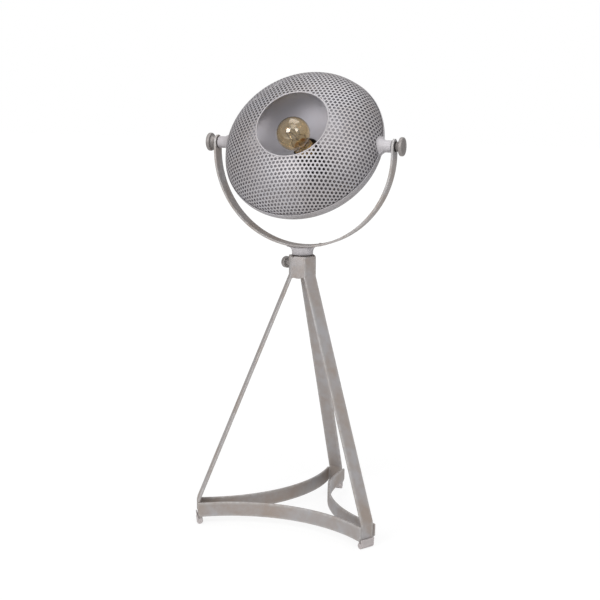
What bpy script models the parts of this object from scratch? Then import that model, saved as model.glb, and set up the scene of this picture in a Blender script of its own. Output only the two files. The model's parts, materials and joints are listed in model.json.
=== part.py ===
# Table lamp on a three-legged stand: a domed, perforated lamp head that tilts in a forked yoke,
# a yoke that swivels on a hexagonal hub, and flat-bar legs joined by three curved straps.
# Metres, +Z up. The origin lies on the floor in the middle of the lamp's footprint.
# The head tilts about an axis along X, and the lamp faces -Y.

import math

import bmesh
import bpy
from mathutils import Matrix, Vector

# Flat bar stock and shared fits
BAR_WIDTH = 0.020
BAR_THICKNESS = 0.003
BAR_EDGE_ROUNDING = 0.0004
SEAT_GAP = 0.0003
CUT_OVERRUN = 0.002
WELD_DISTANCE = 0.000005
FLAT_ANGLE = math.radians(0.05)
BEND_STEPS = 4
ROUND_STEPS = 24

# Stand
LEG_COUNT = 3
LEG_FOOT_RADIUS = 0.144
LEG_BOTTOM_Z = 0.0072
LEG_LOWER_BEND_Z = 0.0337
LEG_UPPER_BEND_Z = 0.346
LEG_BEND_RADIUS = 0.005
LEG_CORNER_RADIUS = 0.004
STRAP_HEIGHT = 0.020
STRAP_BOTTOM_Z = 0.0107
STRAP_OVERHANG = 0.0005
STRAP_CHAMFER = 0.003
STRAP_TOE_IN = math.radians(7)
STRAP_ARC_STEPS = 24

# Foot pads: a soft tube slit for the leg's end, with a lip up the outer face
PAD_LENGTH = 0.0215
PAD_TUBE_RADIUS = 0.00425
PAD_FLAT_DEPTH = 0.00025
PAD_TUBE_INSET = 0.0008
PAD_WALL = 0.0015
PAD_LIP_TOP_Z = 0.0130
PAD_LIP_FLARE = 0.0008
PAD_INNER_LIP_TOP_Z = 0.0100
PAD_ARC_STEPS = 8
PAD_SHOULDER = math.radians(40)

# Hub
HUB_TOP_Z = 0.373
HUB_HEIGHT = 0.030
HUB_ACROSS_FLATS = 0.0346
HUB_CORNER_RADIUS = 0.004

# Swivel: a pin in the hub's bore, its washer and nut sunk in a recess from below
PIN_DIAMETER = 0.014
PIN_DEPTH_IN_NECK = 0.008
PIN_GROOVE_DEPTH = 0.0015
PIN_GROOVE_HEIGHT = 0.0100
PIN_THREAD_DIAMETER = 0.010
PIN_THREAD_LENGTH = 0.0078
NUT_RECESS_DEPTH = 0.0085
FRICTION_WASHER_DIAMETER = 0.0265
FRICTION_WASHER_THICKNESS = 0.0008
RETAINING_WASHER_DIAMETER = 0.020
RETAINING_WASHER_THICKNESS = 0.0015
RETAINING_NUT_ACROSS_FLATS = 0.015
RETAINING_NUT_THICKNESS = 0.0045
NECK_DIAMETER = 0.0288
NECK_LENGTH = 0.0102

# Lock screw, through the left hub plate
LOCK_SCREW_DROP = 0.0130
LOCK_SHANK_DIAMETER = 0.006
LOCK_SHANK_CLEARANCE = 0.0003
LOCK_HEAD_DIAMETER = 0.0162
LOCK_HEAD_THICKNESS = 0.0064
LOCK_HEAD_STANDOFF = 0.0142
LOCK_NECK_DIAMETER = 0.009
LOCK_NECK_LENGTH = 0.005
LOCK_RECESS_DEPTH = 0.001
LOCK_RECESS_WIDTH = 0.0022
LOCK_EDGE_CHAMFER = 0.0008

# Yoke
YOKE_CLEARANCE = 0.0148
YOKE_ARC_DROP = 0.0096
ARM_END_FLAT = 0.0016
YOKE_ARC_STEPS = 32

# Lamp head: two shells that meet at the rim, in the plane of the tilt axis
HEAD_TILT = math.radians(34.3)
HEAD_RADIUS = 0.111
SHELL_WALL = 0.0012
BOWL_DEPTH = 0.054
BOWL_LIP_HEIGHT = 0.0025
BOWL_FLAT_RADIUS = 0.0115
GRILLE_HEIGHT = 0.0558
OPENING_RADIUS = 0.0496
RIM_BEAD_DIAMETER = 0.0020
HEAD_STEPS = 48
HEAD_RINGS = 7
ENVELOPE_FINENESS = 4
BEAD_SIDES = 6

# Trunnions and tilt knobs
TRUNNION_DIAMETER = 0.016
TRUNNION_FLARE_DIAMETER = 0.022
TRUNNION_FLARE_LENGTH = 0.0035
TRUNNION_ROOT_DEPTH = 0.004
PIVOT_WASHER_THICKNESS = 0.0006
STUD_DIAMETER = 0.006
STUD_DEPTH_IN_TRUNNION = 0.0075
STUD_DEPTH_IN_KNOB = 0.0085
EYE_CLEARANCE = 0.0004
KNOB_WASHER_DIAMETER = 0.0135
KNOB_WASHER_THICKNESS = 0.0007
KNOB_NECK_DIAMETER = 0.0115
KNOB_NECK_LENGTH = 0.0052
KNOB_CONE_DIAMETER = 0.0165
KNOB_HEAD_DIAMETER = 0.0248
KNOB_HEAD_THICKNESS = 0.0052
KNOB_CROWN = 0.0008
KNOB_EDGE_RADIUS = 0.0012

# Lampholder, on a hollow threaded nipple through the bottom of the bowl
NIPPLE_DIAMETER = 0.010
NIPPLE_BORE = 0.007
NIPPLE_LENGTH_IN_HOLDER = 0.005
HOLDER_DIAMETER = 0.036
HOLDER_BASE_DIAMETER = 0.020
HOLDER_SHOULDER_HEIGHT = 0.011
HOLDER_HEIGHT = 0.038
HOLDER_WALL = 0.0018
HOLDER_FLOOR = 0.013
SPACER_WASHER_DIAMETER = 0.018
SPACER_WASHER_THICKNESS = 0.0015
NIPPLE_NUT_ACROSS_FLATS = 0.014
NIPPLE_NUT_THICKNESS = 0.0035
INLET_BUSH_DIAMETER = 0.0145
INLET_BUSH_LENGTH = 0.008
INLET_BUSH_BORE = 0.0064
SLEEVE_WALL = 0.0007
SLEEVE_HEIGHT = 0.018
HOLDER_CONTACT_DIAMETER = 0.008
HOLDER_CONTACT_HEIGHT = 0.0045

# Bulb: a small globe on a 27 mm screw cap, which leans a little in its sleeve
BULB_LEAN = math.radians(6)
BULB_GLOBE_DIAMETER = 0.045
BULB_NECK_RISE = 0.030
BULB_GLASS_WALL = 0.0008
BULB_CAP_LENGTH = 0.0225
BULB_CAP_DIAMETER = 0.0262
BULB_THREAD_DEPTH = 0.0008
BULB_THREAD_PITCH = 0.0036
BULB_CAP_WALL = 0.0005
BULB_NECK_DEPTH = 0.006
BULB_INSULATOR_HEIGHT = 0.004
BULB_CONTACT_DIAMETER = 0.009
BULB_CONTACT_HEIGHT = 0.0012
STEM_BASE_THICKNESS = 0.001
STEM_FLARE_RADIUS = 0.006
STEM_RADIUS = 0.0022
STEM_RISE = 0.013
FILAMENT_WIRE_RADIUS = 0.00035
FILAMENT_SPAN = 0.009
FILAMENT_DROP = 0.010
FILAMENT_ZIGZAGS = 6

# Worked out from the sizes above
HALF_BAR = BAR_WIDTH / 2
HUB_APOTHEM = HUB_ACROSS_FLATS / 2
HUB_BOTTOM_Z = HUB_TOP_Z - HUB_HEIGHT
LEG_REAR = math.radians(90)
LEG_STEP = math.tau / LEG_COUNT
PAD_OUTER_REACH = BAR_THICKNESS / 2 + SEAT_GAP + PAD_WALL + PAD_LIP_FLARE
FOOT_CENTRE_RADIUS = LEG_FOOT_RADIUS - BAR_THICKNESS / 2
REAR_REACH = FOOT_CENTRE_RADIUS + PAD_OUTER_REACH
STRAP_END_RADIUS = LEG_FOOT_RADIUS + STRAP_OVERHANG
STRAP_TOE_SHIFT = (BAR_THICKNESS + STRAP_OVERHANG) * math.tan(STRAP_TOE_IN)
STRAP_SIDE = HALF_BAR + SEAT_GAP + BAR_THICKNESS / 2 / math.cos(STRAP_TOE_IN) + STRAP_TOE_SHIFT
STRAP_END_FORWARD = STRAP_END_RADIUS * math.cos(LEG_STEP / 2) + STRAP_SIDE * math.sin(LEG_STEP / 2)
FRONT_REACH = STRAP_END_FORWARD + BAR_THICKNESS / 2 * math.sin(LEG_STEP / 2 + STRAP_TOE_IN)
STAND_AXIS_Y = (FRONT_REACH - REAR_REACH) / 2
LOCK_SCREW_Z = HUB_TOP_Z - LOCK_SCREW_DROP
NECK_BOTTOM_Z = HUB_TOP_Z + FRICTION_WASHER_THICKNESS + 2 * SEAT_GAP
YOKE_INNER_X = HEAD_RADIUS + YOKE_CLEARANCE
YOKE_OUTER_RADIUS = YOKE_INNER_X + BAR_THICKNESS
PIVOT_Z = NECK_BOTTOM_Z + NECK_LENGTH + YOKE_OUTER_RADIUS + YOKE_ARC_DROP
YOKE_ARC_CENTRE_Z = PIVOT_Z - YOKE_ARC_DROP
GRILLE_RADIUS = HEAD_RADIUS - SHELL_WALL - SEAT_GAP
BEAD_RADIUS = RIM_BEAD_DIAMETER / 2
TRUNNION_END = YOKE_INNER_X - PIVOT_WASHER_THICKNESS - 2 * SEAT_GAP
KNOB_NECK_START = YOKE_OUTER_RADIUS + KNOB_WASHER_THICKNESS + 2 * SEAT_GAP
BOWL_OUTER_FLOOR = -BOWL_DEPTH * math.sqrt(1 - (BOWL_FLAT_RADIUS / HEAD_RADIUS) ** 2)
BOWL_INNER_FLOOR = BOWL_OUTER_FLOOR + SHELL_WALL
HOLDER_BOTTOM = BOWL_INNER_FLOOR + SPACER_WASHER_THICKNESS + 2 * SEAT_GAP
HOLDER_MOUTH = HOLDER_BOTTOM + HOLDER_HEIGHT
HOLDER_CAVITY_FLOOR = HOLDER_BOTTOM + HOLDER_FLOOR
HOLDER_CONTACT_TOP = HOLDER_CAVITY_FLOOR + SEAT_GAP + HOLDER_CONTACT_HEIGHT
BULB_SEAT = HOLDER_CONTACT_TOP + SEAT_GAP

# Heights above the bulb's own tip
BULB_INSULATOR_BOTTOM = BULB_CONTACT_HEIGHT + SEAT_GAP
BULB_CAP_BOTTOM = BULB_INSULATOR_BOTTOM + BULB_INSULATOR_HEIGHT + SEAT_GAP
BULB_CAP_TOP = BULB_CAP_BOTTOM + BULB_CAP_LENGTH
BULB_CENTRE = BULB_CAP_TOP + BULB_NECK_RISE
BULB_NECK_BOTTOM = BULB_CAP_TOP - BULB_NECK_DEPTH
STEM_TOP = BULB_CAP_TOP + STEM_RISE


def clear_scene():
    for old in list(bpy.data.objects):
        bpy.data.objects.remove(old, do_unlink=True)


def collection(name):
    made = bpy.data.collections.new(name)
    bpy.context.scene.collection.children.link(made)
    return made


def material(name, colour, roughness, metallic, alpha=1.0):
    made = bpy.data.materials.new(name)
    made.use_nodes = True
    shader = made.node_tree.nodes["Principled BSDF"]
    shader.inputs["Base Color"].default_value = (*colour, 1.0)
    shader.inputs["Roughness"].default_value = roughness
    shader.inputs["Metallic"].default_value = metallic
    shader.inputs["Alpha"].default_value = alpha
    return made


def axis_empty(name, location, rotation=(0.0, 0.0, 0.0), parent=None):
    empty = bpy.data.objects.new(name, None)
    empty.location = location
    empty.rotation_euler = rotation
    empty.parent = parent
    LAMP.objects.link(empty)
    return empty


def place(obj, parent, matrix=None):
    obj.parent = parent
    if matrix is not None:
        obj.matrix_local = matrix
    return obj


def part(name, mesh, mat, parent=None, matrix=None):
    mesh.name = name
    mesh.materials.clear()
    mesh.materials.append(mat)
    obj = bpy.data.objects.new(name, mesh)
    LAMP.objects.link(obj)
    return place(obj, parent, matrix)


def cutter(name, mesh, parent=None, matrix=None):
    obj = bpy.data.objects.new(name, mesh)
    CUTTERS.objects.link(obj)
    obj.hide_render = True
    obj.display_type = "WIRE"
    return place(obj, parent, matrix)


def cut(obj, tool):
    """Cuts the tool out of the object, and welds the points that the cut leaves doubled."""
    step = obj.modifiers.new(tool.name, "BOOLEAN")
    step.operation = "DIFFERENCE"
    step.object = tool
    step.solver = "EXACT"
    weld = obj.modifiers.new("weld", "WELD")
    weld.merge_threshold = WELD_DISTANCE


def soften(obj, width, segments=1):
    step = obj.modifiers.new("edge rounding", "BEVEL")
    step.width = width
    step.segments = segments
    step.limit_method = "ANGLE"
    step.angle_limit = math.radians(40)
    step.use_clamp_overlap = True


def smooth(obj, degrees=35):
    obj.data.shade_smooth()
    obj.data.set_sharp_from_angle(angle=math.radians(degrees))
    return obj


def evaluated_mesh(obj):
    bpy.context.view_layer.update()
    graph = bpy.context.evaluated_depsgraph_get()
    return bpy.data.meshes.new_from_object(obj.evaluated_get(graph))


def mesh_from_curve(curve, name):
    """Turns a curve into a welded mesh and drops the curve's object."""
    holder = bpy.data.objects.new(name + " curve", curve)
    CUTTERS.objects.link(holder)
    mesh = evaluated_mesh(holder)
    bpy.data.objects.remove(holder, do_unlink=True)
    shape = bmesh.new()
    shape.from_mesh(mesh)
    bmesh.ops.remove_doubles(shape, verts=shape.verts, dist=WELD_DISTANCE)
    bmesh.ops.recalc_face_normals(shape, faces=shape.faces)
    shape.to_mesh(mesh)
    shape.free()
    return mesh


def merge_flat_faces(mesh):
    """Joins the triangles of each flat face into one face."""
    shape = bmesh.new()
    shape.from_mesh(mesh)
    bmesh.ops.dissolve_limit(shape, angle_limit=FLAT_ANGLE, verts=[], edges=shape.edges)
    shape.to_mesh(mesh)
    shape.free()
    return mesh


def outline_mesh(name, points, depth):
    """A flat outline in the XY plane, extruded by depth about z = 0."""
    curve = bpy.data.curves.new(name, "CURVE")
    curve.dimensions = "2D"
    curve.fill_mode = "BOTH"
    curve.extrude = depth / 2
    spline = curve.splines.new("POLY")
    spline.points.add(len(points) - 1)
    for point, (x, y) in zip(spline.points, points):
        point.co = (x, y, 0.0, 1.0)
    spline.use_cyclic_u = True
    return merge_flat_faces(mesh_from_curve(curve, name))


def turned_mesh(name, profile, steps=ROUND_STEPS, closed=False):
    """A profile of (radius, height) pairs turned about Z, running down its outer side."""
    mesh = bpy.data.meshes.new(name)
    count = len(profile)
    edges = [(i, i + 1) for i in range(count - 1)]
    if closed:
        edges.append((count - 1, 0))
    mesh.from_pydata([(r, 0.0, z) for r, z in profile], edges, [])
    holder = bpy.data.objects.new(name + " profile", mesh)
    CUTTERS.objects.link(holder)
    screw = holder.modifiers.new("turn", "SCREW")
    screw.steps = steps
    screw.render_steps = steps
    screw.use_merge_vertices = True
    screw.merge_threshold = WELD_DISTANCE
    turned = evaluated_mesh(holder)
    bpy.data.objects.remove(holder, do_unlink=True)
    shape = bmesh.new()
    shape.from_mesh(turned)
    bmesh.ops.recalc_face_normals(shape, faces=shape.faces)
    shape.to_mesh(turned)
    shape.free()
    return turned


def cylinder_mesh(name, radius, depth, steps=ROUND_STEPS):
    mesh = bpy.data.meshes.new(name)
    shape = bmesh.new()
    bmesh.ops.create_cone(
        shape, cap_ends=True, segments=steps, radius1=radius, radius2=radius, depth=depth
    )
    shape.to_mesh(mesh)
    shape.free()
    return mesh


def frame_matrix(origin, x_axis, y_axis):
    """A placing matrix whose local X and Y run along the given directions."""
    x = Vector(x_axis).normalized()
    y = Vector(y_axis).normalized()
    z = x.cross(y)
    matrix = Matrix((x, y, z)).transposed().to_4x4()
    matrix.translation = Vector(origin)
    return matrix


def bent_path(corners, radius):
    """Points and directions along a line whose inner corners are rounded to radius."""
    points = [(Vector(corners[0]), (Vector(corners[1]) - Vector(corners[0])).normalized())]
    for before, corner, after in zip(corners, corners[1:], corners[2:]):
        corner = Vector(corner)
        way_in = (corner - Vector(before)).normalized()
        way_out = (Vector(after) - corner).normalized()
        turn = way_in.angle_signed(way_out)
        setback = radius * math.tan(abs(turn) / 2)
        start = corner - way_in * setback
        side = Vector((-way_in.y, way_in.x)) * (-1 if turn > 0 else 1)
        centre = start + side * radius
        for i in range(BEND_STEPS + 1):
            spin = Matrix.Rotation(-turn * i / BEND_STEPS, 2)
            points.append((centre + spin @ (start - centre), spin @ way_in))
    last = (Vector(corners[-1]) - Vector(corners[-2])).normalized()
    points.append((Vector(corners[-1]), last))
    return points


def bar_outline(path, thickness):
    """The edge view of a flat bar that follows a path of points and directions."""
    left = [p + Vector((-d.y, d.x)) * thickness / 2 for p, d in path]
    right = [p - Vector((-d.y, d.x)) * thickness / 2 for p, d in path]
    return [tuple(p) for p in left + right[::-1]]


def arc_points(centre, radius, start, stop, steps):
    return [
        (
            centre[0] + radius * math.cos(start + (stop - start) * i / steps),
            centre[1] + radius * math.sin(start + (stop - start) * i / steps),
        )
        for i in range(steps + 1)
    ]


def leg_angle(index):
    return LEG_REAR + index * LEG_STEP


def radial(angle):
    return Vector((math.cos(angle), math.sin(angle), 0.0))


def bevel_where(mesh, chosen, offset, segments):
    """Bevels the edges whose two ends both pass the test."""
    shape = bmesh.new()
    shape.from_mesh(mesh)
    edges = [e for e in shape.edges if all(chosen(v.co) for v in e.verts)]
    bmesh.ops.bevel(
        shape, geom=edges, offset=offset, segments=segments, profile=0.5, affect="EDGES"
    )
    shape.to_mesh(mesh)
    shape.free()


def hexagon_points(across_flats):
    corner = across_flats / math.sqrt(3)
    return arc_points((0.0, 0.0), corner, 0.0, math.tau * 5 / 6, 5)


def build_legs(stand):
    """Flat-bar legs: upright against the hub, sloping out, and upright again at the foot."""
    top_line = HUB_APOTHEM - BAR_THICKNESS / 2
    corners = [
        (top_line, HUB_TOP_Z),
        (top_line, LEG_UPPER_BEND_Z),
        (FOOT_CENTRE_RADIUS, LEG_LOWER_BEND_Z),
        (FOOT_CENTRE_RADIUS, LEG_BOTTOM_Z),
    ]
    outline = bar_outline(bent_path(corners, LEG_BEND_RADIUS), BAR_THICKNESS)
    for index, name in enumerate(("leg_rear", "leg_front_left", "leg_front_right")):
        mesh = outline_mesh(name, outline, BAR_WIDTH)
        for side in (-1, 1):
            bevel_where(
                mesh,
                lambda co: HUB_TOP_Z - co.y < SEAT_GAP and HALF_BAR - side * co.z < SEAT_GAP,
                LEG_CORNER_RADIUS,
                BEND_STEPS,
            )
        matrix = frame_matrix((0.0, 0.0, 0.0), radial(leg_angle(index)), (0.0, 0.0, 1.0))
        leg = part(name, mesh, ZINC, stand, matrix)
        soften(leg, BAR_EDGE_ROUNDING)


def build_base_straps(stand):
    """Curved straps on edge between the feet, bowed towards the middle of the stand."""
    half_step = LEG_STEP / 2
    end_u = STRAP_END_FORWARD
    end_v = STRAP_END_RADIUS * math.sin(half_step) - STRAP_SIDE * math.cos(half_step)
    sweep = math.pi / 2 - half_step + STRAP_TOE_IN
    bend_radius = end_v / math.sin(sweep)
    centre = (end_u + bend_radius * math.cos(sweep), 0.0)
    start = math.pi + sweep
    stop = math.pi - sweep
    outer = bend_radius + BAR_THICKNESS / 2
    inner = bend_radius - BAR_THICKNESS / 2
    outline = arc_points(centre, outer, start, stop, STRAP_ARC_STEPS)
    outline += arc_points(centre, inner, stop, start, STRAP_ARC_STEPS)
    end_line = end_u - 2 * BAR_THICKNESS
    lift = Matrix.Translation((0.0, 0.0, STRAP_BOTTOM_Z + STRAP_HEIGHT / 2))
    for index, name in enumerate(("base_strap_left", "base_strap_front", "base_strap_right")):
        mesh = outline_mesh(name, outline, STRAP_HEIGHT)
        for end in (-1, 1):
            bevel_where(
                mesh,
                lambda co: co.z < 0 and co.x > end_line and end * co.y > end_v - BAR_THICKNESS,
                STRAP_CHAMFER,
                1,
            )
        turn = Matrix.Rotation(leg_angle(index) + half_step, 4, "Z")
        strap = part(name, mesh, ZINC, stand, lift @ turn)
        soften(strap, BAR_EDGE_ROUNDING)


def pad_outline():
    """Cross-section of a foot pad: x across the leg's end from its middle, y up from the floor."""
    slot = BAR_THICKNESS / 2 + SEAT_GAP
    floor = LEG_BOTTOM_Z - SEAT_GAP
    centre = (-PAD_TUBE_INSET, PAD_TUBE_RADIUS - PAD_FLAT_DEPTH)
    flat = math.acos(centre[1] / PAD_TUBE_RADIUS)
    down = -math.pi / 2
    right = arc_points(centre, PAD_TUBE_RADIUS, 0.0, down + flat, PAD_ARC_STEPS)
    shoulder = -math.pi - PAD_SHOULDER
    left = arc_points(centre, PAD_TUBE_RADIUS, down - flat, shoulder, PAD_ARC_STEPS)
    lip = [
        (slot, floor),
        (slot + PAD_LIP_FLARE, PAD_LIP_TOP_Z),
        (slot + PAD_WALL + PAD_LIP_FLARE, PAD_LIP_TOP_Z),
        (slot + PAD_WALL, floor),
    ]
    inner_lip = [
        (-slot - PAD_WALL, floor),
        (-slot - PAD_WALL, PAD_INNER_LIP_TOP_Z),
        (-slot, PAD_INNER_LIP_TOP_Z),
        (-slot, floor),
    ]
    return lip + right + left + inner_lip


def build_foot_pads(stand):
    for index, name in enumerate(
        ("foot_pad_rear", "foot_pad_front_left", "foot_pad_front_right")
    ):
        direction = radial(leg_angle(index))
        matrix = frame_matrix(direction * FOOT_CENTRE_RADIUS, direction, (0.0, 0.0, 1.0))
        pad = part(name, outline_mesh(name, pad_outline(), PAD_LENGTH), CLEAR_VINYL, stand, matrix)
        smooth(pad)


def build_hub(stand):
    """A bored tube in the middle, with a mitred plate on each side that no leg covers."""
    outer = HUB_APOTHEM - BAR_THICKNESS - SEAT_GAP
    bore = PIN_DIAMETER / 2 + SEAT_GAP
    recess = RETAINING_WASHER_DIAMETER / 2 + SEAT_GAP
    recess_top = HUB_BOTTOM_Z + NUT_RECESS_DEPTH
    tube_profile = [
        (outer, HUB_TOP_Z),
        (outer, HUB_BOTTOM_Z),
        (recess, HUB_BOTTOM_Z),
        (recess, recess_top),
        (bore, recess_top),
        (bore, HUB_TOP_Z),
    ]
    tube = part("hub_tube", turned_mesh("hub_tube", tube_profile, closed=True), ZINC, stand)
    screw_hole = cutter("lock screw hole", lock_screw_hole_mesh(), stand, lock_screw_matrix())
    cut(tube, screw_hole)
    smooth(tube)
    slope = math.tan(LEG_STEP / 2)
    edge = (HALF_BAR + SEAT_GAP) / math.cos(LEG_STEP / 2)
    inner_apothem = HUB_APOTHEM - BAR_THICKNESS
    outer_half = HUB_APOTHEM * slope - edge
    inner_half = inner_apothem * slope - edge
    plan = [
        (HUB_APOTHEM, outer_half),
        (inner_apothem, inner_half),
        (inner_apothem, -inner_half),
        (HUB_APOTHEM, -outer_half),
    ]
    for index, name in enumerate(("hub_plate_left", "hub_plate_front", "hub_plate_right")):
        turn = Matrix.Rotation(leg_angle(index) + LEG_STEP / 2, 4, "Z")
        raise_up = Matrix.Translation((0.0, 0.0, HUB_BOTTOM_Z + HUB_HEIGHT / 2))
        plate = part(name, outline_mesh(name, plan, HUB_HEIGHT), ZINC, stand, raise_up @ turn)
        if index == 0:
            cut(plate, screw_hole)
        soften(plate, BAR_EDGE_ROUNDING)


def lock_screw_matrix():
    """Local Z runs outward through the left hub plate, at the lock screw's height."""
    up = Vector((0.0, 0.0, 1.0))
    across = up.cross(radial(leg_angle(0) + LEG_STEP / 2))
    return frame_matrix((0.0, 0.0, LOCK_SCREW_Z), across, up)


def lock_screw_hole_mesh():
    radius = LOCK_SHANK_DIAMETER / 2 + LOCK_SHANK_CLEARANCE
    mesh = cylinder_mesh("lock screw hole", radius, HUB_APOTHEM + 2 * CUT_OVERRUN)
    mesh.transform(Matrix.Translation((0.0, 0.0, HUB_APOTHEM / 2 + 2 * CUT_OVERRUN)))
    return mesh


def build_lock_screw(stand):
    """A thumb screw along its own Z: shank into the pin's groove, neck and dished head outside."""
    shank = LOCK_SHANK_DIAMETER / 2
    tip = PIN_DIAMETER / 2 - PIN_GROOVE_DEPTH + SEAT_GAP
    head_start = HUB_APOTHEM + LOCK_HEAD_STANDOFF
    head_end = head_start + LOCK_HEAD_THICKNESS
    head = LOCK_HEAD_DIAMETER / 2
    neck = LOCK_NECK_DIAMETER / 2
    floor = head_start + LOCK_RECESS_DEPTH
    profile = [
        (0.0, head_end),
        (head - LOCK_EDGE_CHAMFER, head_end),
        (head, head_end - LOCK_EDGE_CHAMFER),
        (head, head_start + LOCK_EDGE_CHAMFER),
        (head - LOCK_EDGE_CHAMFER, head_start),
        (neck + LOCK_RECESS_WIDTH, head_start),
        (neck + LOCK_RECESS_WIDTH, floor),
        (neck, floor),
        (neck, head_start),
        (shank, head_start - LOCK_NECK_LENGTH),
        (shank, tip),
        (0.0, tip),
    ]
    mesh = turned_mesh("lock_screw", profile)
    smooth(part("lock_screw", mesh, KNOB_METAL, stand, lock_screw_matrix()))


def build_swivel(yoke):
    """The parts that turn in the hub: neck, pin, washers and nut."""
    neck = NECK_DIAMETER / 2
    bore = PIN_DIAMETER / 2 + SEAT_GAP
    pin_top = NECK_BOTTOM_Z + PIN_DEPTH_IN_NECK
    bore_top = pin_top + SEAT_GAP
    neck_top = YOKE_ARC_CENTRE_Z - YOKE_OUTER_RADIUS + CUT_OVERRUN
    profile = [
        (0.0, neck_top),
        (neck, neck_top),
        (neck, NECK_BOTTOM_Z),
        (bore, NECK_BOTTOM_Z),
        (bore, bore_top),
        (0.0, bore_top),
    ]
    neck_part = part("yoke_neck", turned_mesh("yoke_neck", profile), ZINC, yoke)
    saddle = cylinder_mesh(
        "neck saddle", YOKE_OUTER_RADIUS + SEAT_GAP, NECK_DIAMETER + 2 * CUT_OVERRUN, 4 * ROUND_STEPS
    )
    along_y = Matrix.Rotation(math.pi / 2, 4, "X")
    lift = Matrix.Translation((0.0, 0.0, YOKE_ARC_CENTRE_Z))
    cut(neck_part, cutter("neck saddle", saddle, yoke, lift @ along_y))
    smooth(neck_part)

    pin = PIN_DIAMETER / 2
    thread = PIN_THREAD_DIAMETER / 2
    groove_top = LOCK_SCREW_Z + PIN_GROOVE_HEIGHT / 2
    groove_bottom = LOCK_SCREW_Z - PIN_GROOVE_HEIGHT / 2
    thread_top = HUB_BOTTOM_Z + NUT_RECESS_DEPTH
    profile = [
        (0.0, pin_top),
        (pin, pin_top),
        (pin, groove_top),
        (pin - PIN_GROOVE_DEPTH, groove_top - PIN_GROOVE_DEPTH),
        (pin - PIN_GROOVE_DEPTH, groove_bottom + PIN_GROOVE_DEPTH),
        (pin, groove_bottom),
        (pin, thread_top),
        (thread, thread_top),
        (thread, thread_top - PIN_THREAD_LENGTH),
        (0.0, thread_top - PIN_THREAD_LENGTH),
    ]
    smooth(part("swivel_pin", turned_mesh("swivel_pin", profile), STEEL, yoke))

    washer_z = HUB_TOP_Z + SEAT_GAP
    ring("friction_washer", FRICTION_WASHER_DIAMETER, 2 * bore, washer_z,
         FRICTION_WASHER_THICKNESS, FIBRE, yoke)
    lower_z = thread_top - SEAT_GAP - RETAINING_WASHER_THICKNESS
    hole = PIN_THREAD_DIAMETER + 2 * SEAT_GAP
    ring("retaining_washer", RETAINING_WASHER_DIAMETER, hole, lower_z,
         RETAINING_WASHER_THICKNESS, STEEL, yoke)
    nut_z = lower_z - SEAT_GAP - RETAINING_NUT_THICKNESS
    hex_nut("retaining_nut", RETAINING_NUT_ACROSS_FLATS, hole, nut_z,
            RETAINING_NUT_THICKNESS, STEEL, yoke)


def ring(name, diameter, hole, bottom, thickness, mat, parent, matrix=None):
    """A flat washer standing on bottom, about the local Z axis."""
    profile = [
        (diameter / 2, bottom + thickness),
        (diameter / 2, bottom),
        (hole / 2, bottom),
        (hole / 2, bottom + thickness),
    ]
    mesh = turned_mesh(name, profile, closed=True)
    return smooth(part(name, mesh, mat, parent, matrix))


def hex_nut(name, across_flats, hole, bottom, thickness, mat, parent):
    mesh = outline_mesh(name, hexagon_points(across_flats), thickness)
    lift = Matrix.Translation((0.0, 0.0, bottom + thickness / 2))
    nut = part(name, mesh, mat, parent, lift)
    bore = cylinder_mesh(name + " bore", hole / 2, thickness + 2 * CUT_OVERRUN)
    cut(nut, cutter(name + " bore", bore, parent, lift))
    return nut


def build_yoke(yoke):
    """A flat bar bent to a half circle with straight, round-ended arms and a hole in each."""
    middle_radius = YOKE_OUTER_RADIUS - BAR_THICKNESS / 2
    arm_top = PIVOT_Z + HALF_BAR
    path = [(Vector((-middle_radius, arm_top)), Vector((0.0, -1.0)))]
    for i in range(YOKE_ARC_STEPS + 1):
        angle = math.pi + math.pi * i / YOKE_ARC_STEPS
        out = Vector((math.cos(angle), math.sin(angle)))
        centre = Vector((0.0, YOKE_ARC_CENTRE_Z))
        path.append((centre + out * middle_radius, Vector((-out.y, out.x))))
    path.append((Vector((middle_radius, arm_top)), Vector((0.0, 1.0))))
    mesh = outline_mesh("yoke_strap", bar_outline(path, BAR_THICKNESS), BAR_WIDTH)
    for side in (-1, 1):
        bevel_where(
            mesh,
            lambda co: arm_top - co.y < SEAT_GAP and HALF_BAR - side * co.z < SEAT_GAP,
            HALF_BAR - ARM_END_FLAT / 2,
            2 * BEND_STEPS,
        )
    matrix = frame_matrix((0.0, 0.0, 0.0), (1.0, 0.0, 0.0), (0.0, 0.0, 1.0))
    strap = part("yoke_strap", mesh, ZINC, yoke, matrix)
    across = Matrix.Rotation(math.pi / 2, 4, "Y")
    for sign, side in ((-1, "left"), (1, "right")):
        centre = Matrix.Translation((sign * middle_radius, 0.0, PIVOT_Z))
        hole = cylinder_mesh(
            "yoke hole", STUD_DIAMETER / 2 + EYE_CLEARANCE, BAR_THICKNESS + 2 * CUT_OVERRUN
        )
        cut(strap, cutter(f"yoke hole {side}", hole, yoke, centre @ across))
    soften(strap, BAR_EDGE_ROUNDING)


def ellipse_profile(radius, height, start_radius, end_radius, rings):
    """Radius and height along an ellipse from start_radius to end_radius, evenly by angle."""
    start = math.acos(min(1.0, start_radius / radius))
    end = math.acos(min(1.0, end_radius / radius))
    points = []
    for i in range(rings + 1):
        angle = start + (end - start) * i / rings
        points.append((radius * math.cos(angle), height * math.sin(angle)))
    return points


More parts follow.
